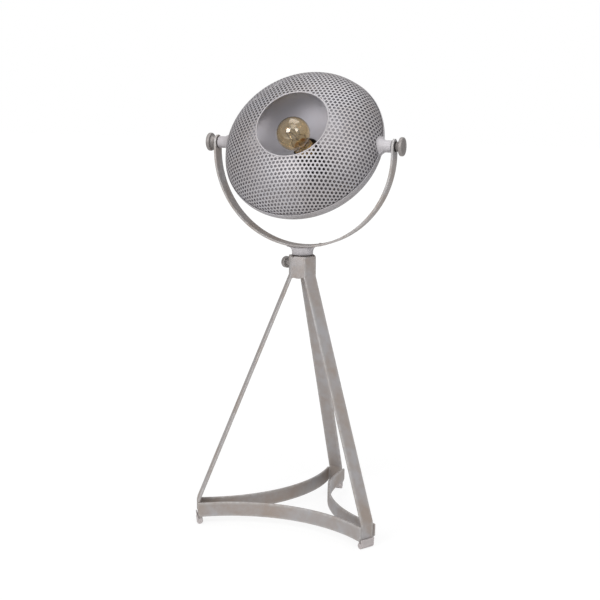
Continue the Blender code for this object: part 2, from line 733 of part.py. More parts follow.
def build_head_shells(head):
    hole = NIPPLE_DIAMETER / 2 + SEAT_GAP
    inner = HEAD_RADIUS - SHELL_WALL
    depth = BOWL_DEPTH - SHELL_WALL
    outside = ellipse_profile(HEAD_RADIUS, -BOWL_DEPTH, HEAD_RADIUS, BOWL_FLAT_RADIUS, HEAD_RINGS)
    inside = ellipse_profile(inner, -depth, inner, BOWL_FLAT_RADIUS, HEAD_RINGS)
    profile = [(HEAD_RADIUS, BOWL_LIP_HEIGHT)]
    profile += outside + [(hole, BOWL_OUTER_FLOOR), (hole, BOWL_INNER_FLOOR)]
    profile += inside[::-1] + [(inner, BOWL_LIP_HEIGHT)]
    mesh = turned_mesh("rear_bowl", profile, HEAD_STEPS, closed=True)
    smooth(part("rear_bowl", mesh, ZINC, head))

    edge = OPENING_RADIUS + BEAD_RADIUS + SEAT_GAP
    outside = ellipse_profile(GRILLE_RADIUS, GRILLE_HEIGHT, GRILLE_RADIUS, edge, HEAD_RINGS)
    inside = ellipse_profile(
        GRILLE_RADIUS - SHELL_WALL, GRILLE_HEIGHT - SHELL_WALL, GRILLE_RADIUS - SHELL_WALL, edge,
        HEAD_RINGS
    )
    profile = outside[::-1] + inside
    mesh = turned_mesh("front_grille", profile, HEAD_STEPS, closed=True)
    smooth(part("front_grille", mesh, ZINC, head))

    share = OPENING_RADIUS / GRILLE_RADIUS
    bead_z = GRILLE_HEIGHT * math.sqrt(1 - share * share)
    bead = arc_points((OPENING_RADIUS, bead_z), BEAD_RADIUS, math.tau, 0.0, BEAD_SIDES)[:-1]
    mesh = turned_mesh("opening_rim", bead, HEAD_STEPS, closed=True)
    smooth(part("opening_rim", mesh, ZINC, head))


def side_matrix(sign):
    """Local Z runs outward along the tilt axis on the given side."""
    return Matrix.Rotation(sign * math.pi / 2, 4, "Y")


def head_envelope():
    """The outside of the closed lamp head grown by the seat gap, for fitting parts to it."""
    grille = GRILLE_RADIUS + SEAT_GAP
    bowl = HEAD_RADIUS + SEAT_GAP
    lip = BOWL_LIP_HEIGHT + SEAT_GAP
    rings = HEAD_RINGS * ENVELOPE_FINENESS
    front = ellipse_profile(grille, GRILLE_HEIGHT + SEAT_GAP, grille, 0.0, rings)
    front = [point for point in front[::-1] if point[1] > lip]
    back = ellipse_profile(bowl, -BOWL_DEPTH - SEAT_GAP, bowl, 0.0, rings)
    front[0] = (0.0, front[0][1])
    back[-1] = (0.0, back[-1][1])
    return turned_mesh("head envelope", front + [(grille, lip), (bowl, lip)] + back, HEAD_STEPS)


def build_trunnions(head):
    """Bosses on the rim that carry the head, with a washer between each and the yoke."""
    boss = TRUNNION_DIAMETER / 2
    flare = TRUNNION_FLARE_DIAMETER / 2
    root = HEAD_RADIUS + SEAT_GAP
    inside = root - TRUNNION_ROOT_DEPTH
    bore = STUD_DIAMETER / 2 + SEAT_GAP
    bore_end = TRUNNION_END - STUD_DEPTH_IN_TRUNNION
    profile = [
        (0.0, bore_end),
        (bore, bore_end),
        (bore, TRUNNION_END),
        (boss, TRUNNION_END),
        (boss, root + TRUNNION_FLARE_LENGTH),
        (flare, root),
        (flare, inside),
        (0.0, inside),
    ]
    envelope = cutter("head envelope", head_envelope(), head)
    for sign, side in ((-1, "left"), (1, "right")):
        mesh = turned_mesh("trunnion", profile)
        trunnion = part(f"trunnion_{side}", mesh, ZINC, head, side_matrix(sign))
        cut(trunnion, envelope)
        smooth(trunnion)
        ring(f"pivot_washer_{side}", TRUNNION_DIAMETER, 2 * bore, TRUNNION_END + SEAT_GAP,
             PIVOT_WASHER_THICKNESS, FIBRE, head, side_matrix(sign))


def build_tilt_knobs(head):
    """Thumb knobs that clamp the yoke's arms, each on a threaded stud into its trunnion."""
    neck = KNOB_NECK_DIAMETER / 2
    cone = KNOB_CONE_DIAMETER / 2
    rim = KNOB_HEAD_DIAMETER / 2
    bore = STUD_DIAMETER / 2 + SEAT_GAP
    neck_end = KNOB_NECK_START + KNOB_NECK_LENGTH
    head_end = neck_end + KNOB_HEAD_THICKNESS
    bore_end = KNOB_NECK_START + STUD_DEPTH_IN_KNOB
    profile = [(0.0, head_end + KNOB_CROWN)]
    profile += [(rim - KNOB_EDGE_RADIUS - cone / 2, head_end + KNOB_CROWN / 2)]
    profile += arc_points((rim - KNOB_EDGE_RADIUS, head_end - KNOB_EDGE_RADIUS),
                          KNOB_EDGE_RADIUS, math.pi / 2, 0.0, BEND_STEPS)
    profile += arc_points((rim - KNOB_EDGE_RADIUS, neck_end + KNOB_EDGE_RADIUS),
                          KNOB_EDGE_RADIUS, 0.0, -math.pi / 2, BEND_STEPS)
    profile += [
        (cone, neck_end),
        (neck, KNOB_NECK_START),
        (bore, KNOB_NECK_START),
        (bore, bore_end),
        (0.0, bore_end),
    ]
    stud = STUD_DIAMETER / 2
    stud_start = TRUNNION_END - STUD_DEPTH_IN_TRUNNION + SEAT_GAP
    stud_end = bore_end - SEAT_GAP
    stud_profile = [(0.0, stud_end), (stud, stud_end), (stud, stud_start), (0.0, stud_start)]
    for sign, side in ((-1, "left"), (1, "right")):
        matrix = side_matrix(sign)
        mesh = turned_mesh("tilt_knob", profile)
        smooth(part(f"tilt_knob_{side}", mesh, KNOB_METAL, head, matrix))
        mesh = turned_mesh("tilt_stud", stud_profile)
        smooth(part(f"tilt_stud_{side}", mesh, STEEL, head, matrix))
        ring(f"knob_washer_{side}", KNOB_WASHER_DIAMETER, 2 * bore,
             YOKE_OUTER_RADIUS + SEAT_GAP, KNOB_WASHER_THICKNESS, FIBRE, head, matrix)


def build_lampholder(head):
    """A black lampholder on a hollow nipple, held to the bowl by a nut, with the cord's inlet."""
    body = HOLDER_DIAMETER / 2
    base = HOLDER_BASE_DIAMETER / 2
    bore = NIPPLE_DIAMETER / 2 + SEAT_GAP
    shoulder = HOLDER_BOTTOM + HOLDER_SHOULDER_HEIGHT
    floor = HOLDER_CAVITY_FLOOR
    cavity = body - HOLDER_WALL
    nipple_top = HOLDER_BOTTOM + NIPPLE_LENGTH_IN_HOLDER
    profile = [
        (0.0, floor),
        (cavity, floor),
        (cavity, HOLDER_MOUTH),
        (body, HOLDER_MOUTH),
        (body, shoulder),
        (base, HOLDER_BOTTOM),
        (bore, HOLDER_BOTTOM),
        (bore, nipple_top + SEAT_GAP),
        (0.0, nipple_top + SEAT_GAP),
    ]
    smooth(part("lampholder_body", turned_mesh("lampholder_body", profile), BLACK_PLASTIC, head))

    sleeve = cavity - SEAT_GAP
    sleeve_bottom = floor + SEAT_GAP
    sleeve_profile = [
        (sleeve, sleeve_bottom + SLEEVE_HEIGHT),
        (sleeve, sleeve_bottom),
        (sleeve - SLEEVE_WALL, sleeve_bottom),
        (sleeve - SLEEVE_WALL, sleeve_bottom + SLEEVE_HEIGHT),
    ]
    mesh = turned_mesh("lampholder_sleeve", sleeve_profile, closed=True)
    smooth(part("lampholder_sleeve", mesh, BRASS, head))

    contact = HOLDER_CONTACT_DIAMETER / 2
    crown = contact / 2
    profile = [
        (0.0, HOLDER_CONTACT_TOP),
        (crown, HOLDER_CONTACT_TOP),
        (contact, HOLDER_CONTACT_TOP - crown / 2),
        (contact, floor + SEAT_GAP),
        (0.0, floor + SEAT_GAP),
    ]
    smooth(part("lampholder_contact", turned_mesh("lampholder_contact", profile), BRASS, head))

    washer_z = BOWL_INNER_FLOOR + SEAT_GAP
    ring("spacer_washer", SPACER_WASHER_DIAMETER, 2 * bore, washer_z,
         SPACER_WASHER_THICKNESS, STEEL, head)
    nut_z = BOWL_OUTER_FLOOR - SEAT_GAP - NIPPLE_NUT_THICKNESS
    hex_nut("nipple_nut", NIPPLE_NUT_ACROSS_FLATS, 2 * bore, nut_z,
            NIPPLE_NUT_THICKNESS, STEEL, head)
    bush_top = nut_z - SEAT_GAP
    nipple = NIPPLE_DIAMETER / 2
    nipple_bottom = bush_top - INLET_BUSH_LENGTH / 2
    nipple_profile = [
        (nipple, nipple_top),
        (nipple, nipple_bottom),
        (NIPPLE_BORE / 2, nipple_bottom),
        (NIPPLE_BORE / 2, nipple_top),
    ]
    mesh = turned_mesh("threaded_nipple", nipple_profile, closed=True)
    smooth(part("threaded_nipple", mesh, STEEL, head))
    bush = INLET_BUSH_DIAMETER / 2
    bush_bottom = bush_top - INLET_BUSH_LENGTH
    step = nipple_bottom - SEAT_GAP
    bush_profile = [
        (bush, bush_top),
        (bush - KNOB_EDGE_RADIUS, bush_bottom),
        (INLET_BUSH_BORE / 2, bush_bottom),
        (INLET_BUSH_BORE / 2, step),
        (bore, step),
        (bore, bush_top),
    ]
    mesh = turned_mesh("cord_inlet_bush", bush_profile, closed=True)
    smooth(part("cord_inlet_bush", mesh, BLACK_PLASTIC, head))


def build_bulb(bulb):
    """A clear tinted globe bulb with its screw cap, contact, stem and filament."""
    build_bulb_glass(bulb)
    build_bulb_cap(bulb)
    neck = BULB_CAP_DIAMETER / 2 - BULB_THREAD_DEPTH - BULB_CAP_WALL - SEAT_GAP
    base_top = BULB_NECK_BOTTOM - SEAT_GAP
    profile = [
        (0.0, STEM_TOP),
        (STEM_RADIUS, STEM_TOP),
        (STEM_RADIUS, BULB_CAP_TOP),
        (STEM_FLARE_RADIUS, base_top),
        (neck, base_top),
        (neck, base_top - STEM_BASE_THICKNESS),
        (0.0, base_top - STEM_BASE_THICKNESS),
    ]
    smooth(part("bulb_stem", turned_mesh("bulb_stem", profile), GLASS, bulb))
    build_filament(bulb)


def build_bulb_glass(bulb):
    globe = BULB_GLOBE_DIAMETER / 2
    neck = BULB_CAP_DIAMETER / 2 - BULB_THREAD_DEPTH - BULB_CAP_WALL - SEAT_GAP
    neck_angle = -math.acos(neck / globe)
    bottom = BULB_NECK_BOTTOM
    centre = (0.0, BULB_CENTRE)
    outside = arc_points(centre, globe, math.pi / 2, neck_angle, HEAD_RINGS)
    inner = globe - BULB_GLASS_WALL
    inner_neck = neck - BULB_GLASS_WALL
    inner_angle = -math.acos(inner_neck / inner)
    inside = arc_points(centre, inner, inner_angle, math.pi / 2, HEAD_RINGS)
    outside[0] = (0.0, outside[0][1])
    inside[-1] = (0.0, inside[-1][1])
    profile = outside + [(neck, bottom), (inner_neck, bottom)] + inside
    smooth(part("bulb_globe", turned_mesh("bulb_globe", profile), GLASS, bulb))


def build_bulb_cap(bulb):
    outer = BULB_CAP_DIAMETER / 2
    root = outer - BULB_THREAD_DEPTH
    inner = root - BULB_CAP_WALL
    turns = int(BULB_CAP_LENGTH / BULB_THREAD_PITCH) - 1
    top = BULB_CAP_TOP
    bottom = BULB_CAP_BOTTOM
    pitch = BULB_THREAD_PITCH
    outside = [(root, top)]
    for i in range(turns):
        crest = top - pitch * (i + 1)
        outside += [(root, crest + pitch / 3), (outer, crest), (root, crest - pitch / 3)]
    profile = outside + [(root, bottom), (inner, bottom), (inner, top)]
    mesh = turned_mesh("bulb_cap", profile, closed=True)
    smooth(part("bulb_cap", mesh, BRASS, bulb))
    contact = BULB_CONTACT_DIAMETER / 2
    low = BULB_INSULATOR_BOTTOM + BULB_INSULATOR_HEIGHT
    floor = BULB_INSULATOR_BOTTOM
    profile = [(0.0, low), (root, low), (contact, floor), (0.0, floor)]
    mesh = turned_mesh("bulb_insulator", profile)
    smooth(part("bulb_insulator", mesh, BLACK_PLASTIC, bulb))
    top = BULB_CONTACT_HEIGHT
    profile = [(0.0, top), (contact, top), (contact / 2, 0.0), (0.0, 0.0)]
    smooth(part("bulb_contact", turned_mesh("bulb_contact", profile), BRASS, bulb))


def build_filament(bulb):
    """One bent wire: up from the stem, across in a zigzag, and back down to the stem."""
    foot = STEM_RADIUS - 2 * FILAMENT_WIRE_RADIUS
    start = STEM_TOP + SEAT_GAP + FILAMENT_WIRE_RADIUS
    low = BULB_CENTRE - FILAMENT_DROP / 2
    high = BULB_CENTRE + FILAMENT_DROP / 2
    points = [(-foot, start), (-FILAMENT_SPAN, low)]
    for i in range(FILAMENT_ZIGZAGS + 1):
        across = -FILAMENT_SPAN + 2 * FILAMENT_SPAN * (i + 1) / (FILAMENT_ZIGZAGS + 2)
        points.append((across, high if i % 2 == 0 else low))
    points += [(FILAMENT_SPAN, low), (foot, start)]
    curve = bpy.data.curves.new("bulb_filament", "CURVE")
    curve.dimensions = "3D"
    curve.bevel_depth = FILAMENT_WIRE_RADIUS
    curve.bevel_resolution = 1
    curve.use_fill_caps = True
    spline = curve.splines.new("POLY")
    spline.points.add(len(points) - 1)
    for point, (x, z) in zip(spline.points, points):
        point.co = (x, 0.0, z, 1.0)
    mesh = mesh_from_curve(curve, "bulb_filament")
    smooth(part("bulb_filament", mesh, STEEL, bulb))


clear_scene()
LAMP = collection("table lamp")
CUTTERS = collection("cutters")
ZINC = material("zinc grey paint", (0.40, 0.40, 0.41), 0.45, 0.55)
KNOB_METAL = material("knob metal", (0.30, 0.29, 0.28), 0.45, 0.7)
STEEL = material("bright steel", (0.55, 0.55, 0.55), 0.35, 1.0)
FIBRE = material("dark fibre", (0.05, 0.045, 0.04), 0.8, 0.0)
CLEAR_VINYL = material("clear vinyl", (0.72, 0.68, 0.68), 0.4, 0.0)
BLACK_PLASTIC = material("black phenolic", (0.02, 0.02, 0.02), 0.35, 0.0)
BRASS = material("brass", (0.72, 0.53, 0.24), 0.3, 1.0)
GLASS = material("amber glass", (0.62, 0.47, 0.20), 0.05, 0.0, 0.4)

STAND = axis_empty("stand axis", (0.0, STAND_AXIS_Y, 0.0))
YOKE = axis_empty("swivel axis", (0.0, 0.0, 0.0), parent=STAND)
HEAD = axis_empty("tilt axis", (0.0, 0.0, PIVOT_Z), (math.pi / 2 - HEAD_TILT, 0.0, 0.0), YOKE)
BULB = axis_empty("bulb axis", (0.0, 0.0, BULB_SEAT), (0.0, -BULB_LEAN, 0.0), HEAD)

build_legs(STAND)
build_base_straps(STAND)
build_foot_pads(STAND)
build_hub(STAND)
build_lock_screw(STAND)
build_swivel(YOKE)
build_yoke(YOKE)
build_head_shells(HEAD)
build_trunnions(HEAD)
build_tilt_knobs(HEAD)
build_lampholder(HEAD)
build_bulb(BULB)
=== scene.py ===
"""Table lamp: a perforated, domed head that tilts in a forked yoke on a three-legged flat-bar stand.

Run as a script. Loads the lamp's solids, builds the finished pieces over them, and sets the studio.
"""

import json
import math

import bmesh
import bpy
import numpy as np
from bpy.props import FloatProperty, FloatVectorProperty, PointerProperty
from mathutils import Matrix, Vector, noise


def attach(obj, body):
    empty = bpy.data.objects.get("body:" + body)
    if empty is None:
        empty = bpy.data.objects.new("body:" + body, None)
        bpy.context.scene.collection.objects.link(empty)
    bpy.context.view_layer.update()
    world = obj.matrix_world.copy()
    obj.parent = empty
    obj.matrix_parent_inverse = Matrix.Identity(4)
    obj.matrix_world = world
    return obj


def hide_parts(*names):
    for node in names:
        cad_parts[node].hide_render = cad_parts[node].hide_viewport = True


bl_info = {
    "name": "Yoke Table Lamp",
    "version": (1, 0, 0),
    "blender": (4, 5, 0),
    "location": "View3D > Sidebar > Table Lamp",
    "description": "Builds a yoke-mounted table lamp with a perforated head",
    "category": "Add Mesh",
}

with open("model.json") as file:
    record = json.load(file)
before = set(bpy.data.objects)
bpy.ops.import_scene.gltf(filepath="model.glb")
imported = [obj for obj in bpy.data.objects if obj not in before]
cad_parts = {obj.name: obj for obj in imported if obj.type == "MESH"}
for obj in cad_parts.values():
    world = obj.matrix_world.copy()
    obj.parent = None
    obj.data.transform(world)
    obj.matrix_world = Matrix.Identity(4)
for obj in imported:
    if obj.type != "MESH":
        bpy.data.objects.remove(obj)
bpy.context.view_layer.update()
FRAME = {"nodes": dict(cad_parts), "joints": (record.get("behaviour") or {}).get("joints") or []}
JOINTS = {joint["name"]: joint for joint in FRAME["joints"]}
SWIVEL = Vector(JOINTS["yoke_swivel"]["pos_m"])
PIVOT = Vector(JOINTS["head_tilt"]["pos_m"])
LOCK = Vector(JOINTS["lock_screw_turn"]["pos_m"])
LOCK_AXIS = Vector(JOINTS["lock_screw_turn"]["axis"]).normalized()
BULB_TIP = Vector(JOINTS["bulb_turn"]["pos_m"])
BULB_AXIS = Vector(JOINTS["bulb_turn"]["axis"]).normalized()
HEAD_TILT = math.radians(34.3)
HEAD_AXIS = Vector((0.0, -math.cos(HEAD_TILT), math.sin(HEAD_TILT)))
STAND_AXIS = Vector((SWIVEL.x, SWIVEL.y, 0.0))
UP = Vector((0.0, 0.0, 1.0))


def metres(name, default, description):
    return FloatProperty(
        name=name, default=default, min=0.0, unit="LENGTH", precision=5, description=description
    )


def degrees(name, default, description):
    return FloatProperty(
        name=name, default=math.radians(default), subtype="ANGLE", description=description
    )


def share(name, default, description):
    return FloatProperty(name=name, default=default, min=0.0, max=1.0, description=description)


def colour(name, default, description):
    return FloatVectorProperty(
        name=name, default=default, size=3, min=0.0, max=1.0, subtype="COLOR",
        description=description,
    )


class StandSizes(bpy.types.PropertyGroup):
    bar_width: metres("Bar width", 0.020, "Width of the flat bar")
    bar_thickness: metres("Bar thickness", 0.003, "Thickness of the flat bar")
    bar_edge: metres("Bar edge radius", 0.0007, "Radius along the bar's edges")
    seat_gap: metres("Seat gap", 0.0003, "Clearance between pieces that meet")
    foot_radius: metres("Foot radius", 0.144, "Outer face of a leg's foot from the swivel axis")
    leg_bottom: metres("Leg bottom", 0.0072, "Height of a leg's lower end")
    lower_bend: metres("Lower bend", 0.0337, "Height of a leg's lower bend")
    upper_bend: metres("Upper bend", 0.346, "Height of a leg's upper bend")
    bend_radius: metres("Bend radius", 0.006, "Radius of a leg's bends, on its centre line")
    leg_corner: metres("Leg corner radius", 0.004, "Rounding of a leg's two upper corners")
    strap_height: metres("Strap height", 0.020, "Height of the curved base straps")
    strap_bottom: metres("Strap bottom", 0.0107, "Height of the straps' lower edge")
    strap_overhang: metres("Strap overhang", 0.0005, "How far a strap passes the leg's face")
    strap_chamfer: metres("Strap chamfer", 0.003, "Cut at the lower corner of a strap's end")
    strap_toe_in: degrees("Strap toe-in", 7.0, "Turn of a strap's end towards the leg it meets")
    pad_length: metres("Pad length", 0.0215, "Length of a foot pad across the leg")
    pad_tube: metres("Pad tube radius", 0.00425, "Radius of the tube under the leg's end")
    pad_wall: metres("Pad wall", 0.0015, "Wall of the foot pad's lips")
    pad_lip: metres("Pad lip top", 0.0130, "Height of the pad's outer lip")
    pad_inner_lip: metres("Pad inner lip top", 0.0100, "Height of the pad's inner lip")
    hub_top: metres("Hub top", 0.373, "Height of the hub's top")
    hub_height: metres("Hub height", 0.030, "Height of the hub's plates")
    hub_flats: metres("Hub across flats", 0.0346, "Width of the hub across its flats")
    hub_corner: metres("Hub corner radius", 0.0022, "Radius ground on the hub's upright corners")
    hub_top_corner: metres("Hub top corner", 0.0055, "Radius ground on a plate's free top corner")
    hub_filled_corner: metres("Hub filled corner", 0.0008, "Radius of the corner filled with weld")
    hub_lower_corner: metres("Hub lower corner", 0.003, "Radius of a hub plate's lower corners")
    hub_bow: metres("Hub bow", 0.0012, "Bow of a hub plate's lower edge")


class YokeSizes(bpy.types.PropertyGroup):
    radius: metres("Yoke radius", 0.1288, "Outer radius of the yoke's bend")
    arc_drop: metres("Arc drop", 0.0096, "How far the bend's centre lies below the tilt axis")
    neck_diameter: metres("Neck diameter", 0.0288, "Diameter of the neck under the yoke")
    neck_bottom: metres("Neck bottom", 0.3744, "Height of the neck's lower face")
    neck_fillet: metres("Neck fillet", 0.0075, "Reach of the weld fillet under the yoke")


class HeadSizes(bpy.types.PropertyGroup):
    radius: metres("Head radius", 0.111, "Outer radius of the bowl's rim")
    wall: metres("Sheet thickness", 0.0012, "Thickness of the bowl's sheet")
    sheet: metres("Perforated sheet", 0.0007, "Thickness of the dome's perforated sheet")
    bowl_depth: metres("Bowl depth", 0.054, "Depth of the rear bowl")
    bowl_lip: metres("Bowl lip", 0.0025, "Height of the bowl's straight lip")
    bowl_flat: metres("Bowl flat", 0.0115, "Radius of the flat at the bowl's bottom")
    dome_radius: metres("Dome radius", 0.1095, "Outer radius of the perforated dome")
    dome_height: metres("Dome height", 0.0558, "Height of the whole dome above its rim")
    opening: metres("Opening radius", 0.0496, "Radius of the round opening")
    rim_bead: metres("Rim bead", 0.0019, "Thickness of the opening's rolled rim")
    hole_pitch: metres("Hole pitch", 0.00569, "Distance between neighbouring holes in the flat sheet")
    hole_diameter: metres("Hole diameter", 0.00385, "Diameter of a hole in the flat sheet")
    hole_shift_x: metres("Hole shift X", 0.00106, "Sideways shift of the hole pattern")
    hole_shift_y: metres("Hole shift Y", 0.00708, "Upward shift of the hole pattern")
    hole_turn: degrees("Hole turn", 5.9, "Turn of the hole pattern in the sheet")
    pressing: share("Pressing", 0.49, "0 keeps the sheet's area when pressed, 1 keeps its radial length")
    trunnion: metres("Trunnion diameter", 0.016, "Diameter of the trunnion bosses")
    trunnion_end: metres("Trunnion end", 0.1246, "Distance of a trunnion's end from the head's axis")
    trunnion_flare: metres("Trunnion flare radius", 0.0135, "Reach of the weld around a trunnion")
    holder: metres("Lampholder diameter", 0.036, "Diameter of the lampholder")
    holder_wall: metres("Lampholder wall", 0.0018, "Wall of the lampholder's cup")
    holder_height: metres("Lampholder height", 0.038, "Height of the lampholder")
    holder_mouth: metres("Lampholder mouth", 0.0124, "Depth of its mouth below the tilt axis")
    holder_floor: metres("Lampholder floor", 0.013, "Height of the cup's floor above its base")


class KnobSizes(bpy.types.PropertyGroup):
    neck_start: metres("Neck start", 0.1301, "Distance of the knob's neck from the head's axis")
    neck: metres("Neck diameter", 0.0115, "Diameter of the neck at the yoke")
    neck_length: metres("Neck length", 0.0052, "Length of the neck")
    cone: metres("Cone diameter", 0.0165, "Diameter of the neck where it meets the disc")
    disc: metres("Disc diameter", 0.0248, "Diameter of the knob's disc")
    disc_thickness: metres("Disc thickness", 0.0052, "Thickness of the knob's disc")
    crown: metres("Crown", 0.0008, "Height of the crown on the disc's outer face")
    edge: metres("Edge radius", 0.0017, "Radius on the disc's edges")
    screw_head: metres("Lock screw head", 0.0162, "Diameter of the lock screw's head")
    screw_head_thickness: metres("Lock screw head thickness", 0.0064, "Thickness of that head")
    screw_standoff: metres("Lock screw stand-off", 0.0142, "Gap from the hub to the head")


class BulbSizes(bpy.types.PropertyGroup):
    globe: metres("Globe diameter", 0.045, "Diameter of the bulb's globe")
    centre: metres("Globe centre", 0.0583, "Height of the globe's centre above the bulb's tip")
    glass: metres("Glass thickness", 0.0008, "Thickness of the glass")
    cap_top: metres("Cap top", 0.0283, "Height of the cap's upper edge above the tip")
    cap_length: metres("Cap length", 0.0225, "Length of the screw cap")
    cap: metres("Cap diameter", 0.0262, "Diameter of the screw cap")
    thread_pitch: metres("Thread pitch", 0.0036, "Pitch of the cap's rolled thread")
    thread_depth: metres("Thread depth", 0.0008, "Depth of the cap's rolled thread")
    wire: metres("Filament wire", 0.00028, "Radius of the filament's wire")


class FinishColours(bpy.types.PropertyGroup):
    bar_paint: colour("Bar paint", (0.40, 0.372, 0.366), "Zinc grey on the stand and the yoke")
    bar_warm: colour("Bar warm tone", (0.335, 0.275, 0.235), "Brown cast in the bars' mottling")
    bar_cool: colour("Bar cool tone", (0.405, 0.400, 0.415), "Cool cast in the bars' mottling")
    # Lighter grey for the chipped edge band: worn paint and a painted highlight on the edges; it also
    # lifts the grain, weld lumps and pad clouds.
    bar_edge: colour("Worn edge and painted highlight", (0.56, 0.55, 0.54), "Paint worn thin along the edges, with a painted highlight")
    # A lighter copy of the grey paint for the neck, the trunnions and the opening's rim: painted light on
    # these round parts.
    neck_paint: colour("Lightened neck paint", (0.52, 0.505, 0.53), "Paint over the neck and the trunnions")
    head_paint: colour("Head paint", (0.43, 0.42, 0.44), "Satin grey on the head")
    # A satin metal finish inside the head, its grey set darker than the outside paint: painted shade for
    # the hollow.
    head_inside: colour("Head inside, painted shade", (0.345, 0.336, 0.366), "Satin grey inside the head, darkened as painted shade")
    knob_metal: colour("Knob metal", (0.225, 0.202, 0.192), "Darkened metal of the knobs")
    pad_vinyl: colour("Pad vinyl", (0.62, 0.56, 0.555), "Soft, slightly clear foot pads")
    glass_tint: colour("Glass tint", (0.985, 0.86, 0.62), "Amber tint for one pass through the glass")
    brass: colour("Brass", (0.86, 0.62, 0.32), "Bulb cap and contacts")


class StudioSettings(bpy.types.PropertyGroup):
    distance: metres("Camera distance", 1.618, "Level distance of the camera from the swivel axis")
    height: metres("Camera height", 0.5925, "Height of the camera above the floor")
    azimuth: degrees("Camera azimuth", 22.0, "Camera direction, towards +X from -Y")
    aim: degrees("Camera aim", 0.10, "Turn of the camera away from the swivel axis")
    pitch: degrees("Camera pitch", 9.86, "How far the camera looks down")
    roll: degrees("Camera roll", 0.52, "Roll of the camera")
    lens: FloatProperty(name="Lens", default=72.0, min=1.0, description="Focal length in mm")


class Value:
    """A node socket in a sum: Python's operators on it add Math nodes."""

    def __init__(self, surface, socket):
        self.surface = surface
        self.socket = socket

    def _math(self, operation, first, second):
        return self.surface.node("ShaderNodeMath", [first, second], operation=operation)

    def __add__(self, other):
        return self._math("ADD", self, other)

    __radd__ = __add__

    def __sub__(self, other):
        return self._math("SUBTRACT", self, other)

    def __rsub__(self, other):
        return self._math("SUBTRACT", other, self)

    def __mul__(self, other):
        return self._math("MULTIPLY", self, other)

    __rmul__ = __mul__


class Surface:
    """A named material with one Principled shader, and a short way to add nodes to it."""

    def __init__(self, name):
        self.material = bpy.data.materials.new(name)
        self.material.use_nodes = True
        self.tree = self.material.node_tree
        self.shader = self.tree.nodes["Principled BSDF"]

    def node(self, kind, inputs=(), output=0, ramp=None, **settings):
        made = self.tree.nodes.new(kind)
        for name, value in settings.items():
            setattr(made, name, value)
        if ramp:
            stops = made.color_ramp.elements
            while len(stops) < len(ramp):
                stops.new(0.5)
            for stop, (place, tone) in zip(stops, ramp):
                stop.position = place
                stop.color = (tone, tone, tone, 1.0)
        pairs = inputs.items() if isinstance(inputs, dict) else enumerate(inputs)
        for key, value in pairs:
            self.feed(made.inputs[key], value)
        return Value(self, made.outputs[output])

    def feed(self, socket, value):
        if isinstance(value, Value):
            self.tree.links.new(value.socket, socket)
        elif socket.type == "RGBA" and len(value) == 3:
            socket.default_value = (*value, 1.0)
        else:
            socket.default_value = value

    def set(self, **inputs):
        """Feeds the Principled shader, with each socket's name in lower case and underscores."""
        names = {socket.name.lower().replace(" ", "_"): socket for socket in self.shader.inputs}
        for key, value in inputs.items():
            self.feed(names[key], value)
        return self

    def place(self, scale=(1.0, 1.0, 1.0), source="Object"):
        """The surface's own place, in metres, stretched by scale."""
        coordinates = self.tree.nodes.new("ShaderNodeTexCoord")
        start = Value(self, coordinates.outputs[source])
        return self.node("ShaderNodeMapping", {"Vector": start, "Scale": scale})

    def noise(self, where, scale, detail=3.0, roughness=0.5):
        return self.node(
            "ShaderNodeTexNoise",
            {"Vector": where, "Scale": scale, "Detail": detail, "Roughness": roughness},
        )

    def ramp(self, value, *stops):
        return self.node("ShaderNodeValToRGB", [value], ramp=stops)

    def blend(self, factor, first, second, kind="MIX"):
        return self.node(
            "ShaderNodeMix",
            {0: factor, 6: first, 7: second},
            output=2,
            data_type="RGBA",
            blend_type=kind,
        )

    def bump(self, height, distance, strength=1.0):
        return self.node(
            "ShaderNodeBump", {"Height": height, "Distance": distance, "Strength": strength}
        )


def bar_finish(finish):
    """Zinc grey paint over flat bar: mottled, brushed along the bar, lighter on its edges with worn paint
    and a painted highlight.
    """
    paint = Surface("bar paint")
    where = paint.place()
    along = paint.place((28.0, 900.0, 1.0), "UV")
    clouds = paint.ramp(paint.noise(where, 26.0, 4.0, 0.6), (0.36, 0.0), (0.66, 1.0))
    stains = paint.ramp(paint.noise(where, 55.0, 5.0, 0.65), (0.52, 0.0), (0.74, 1.0))
    grain = paint.noise(along, 1.0, 3.0, 0.6)
    speckle = paint.noise(where, 900.0, 2.0, 0.7)
    edge_wear_and_sheen = paint.node("ShaderNodeAttribute", output=2, attribute_name="edge")
    chips = paint.ramp(paint.noise(where, 160.0, 4.0, 0.6), (0.40, 0.25), (0.62, 1.0))
    tone = paint.blend(clouds, finish.bar_warm, finish.bar_cool)
    tone = paint.blend(0.25, tone, finish.bar_paint)
    tone = paint.blend(stains * 0.65, tone, finish.bar_warm)
    tone = paint.blend((grain * 0.9 + speckle * 0.5) * 0.34, tone, finish.bar_edge, "SOFT_LIGHT")
    # Lighter, chipped band along every edge: worn paint, and a painted highlight where the rounded edges
    # catch the light.
    tone = paint.blend(edge_wear_and_sheen * chips * 0.65, tone, finish.bar_edge)
    height = grain * 0.5 + speckle * 0.5
    return paint.set(
        base_color=tone,
        metallic=0.35,
        roughness=0.50 + 0.16 * speckle - 0.10 * clouds,
        normal=paint.bump(height, 0.00012, 0.55),
    ).material


def head_finish(finish, name, tone, gloss, metallic):
    """Satin metallic grey on the head's sheets, with a fine pebble."""
    paint = Surface(name)
    where = paint.place()
    clouds = paint.ramp(paint.noise(where, 18.0, 4.0, 0.6), (0.35, 0.0), (0.68, 1.0))
    speckle = paint.noise(where, 1100.0, 2.0, 0.7)
    tone = paint.blend(clouds * 0.30, tone, finish.bar_warm)
    return paint.set(
        base_color=paint.blend(speckle * 0.22, tone, finish.bar_edge, "SOFT_LIGHT"),
        metallic=metallic,
        roughness=gloss + 0.10 * speckle,
        normal=paint.bump(speckle, 0.00006, 0.35),
    ).material


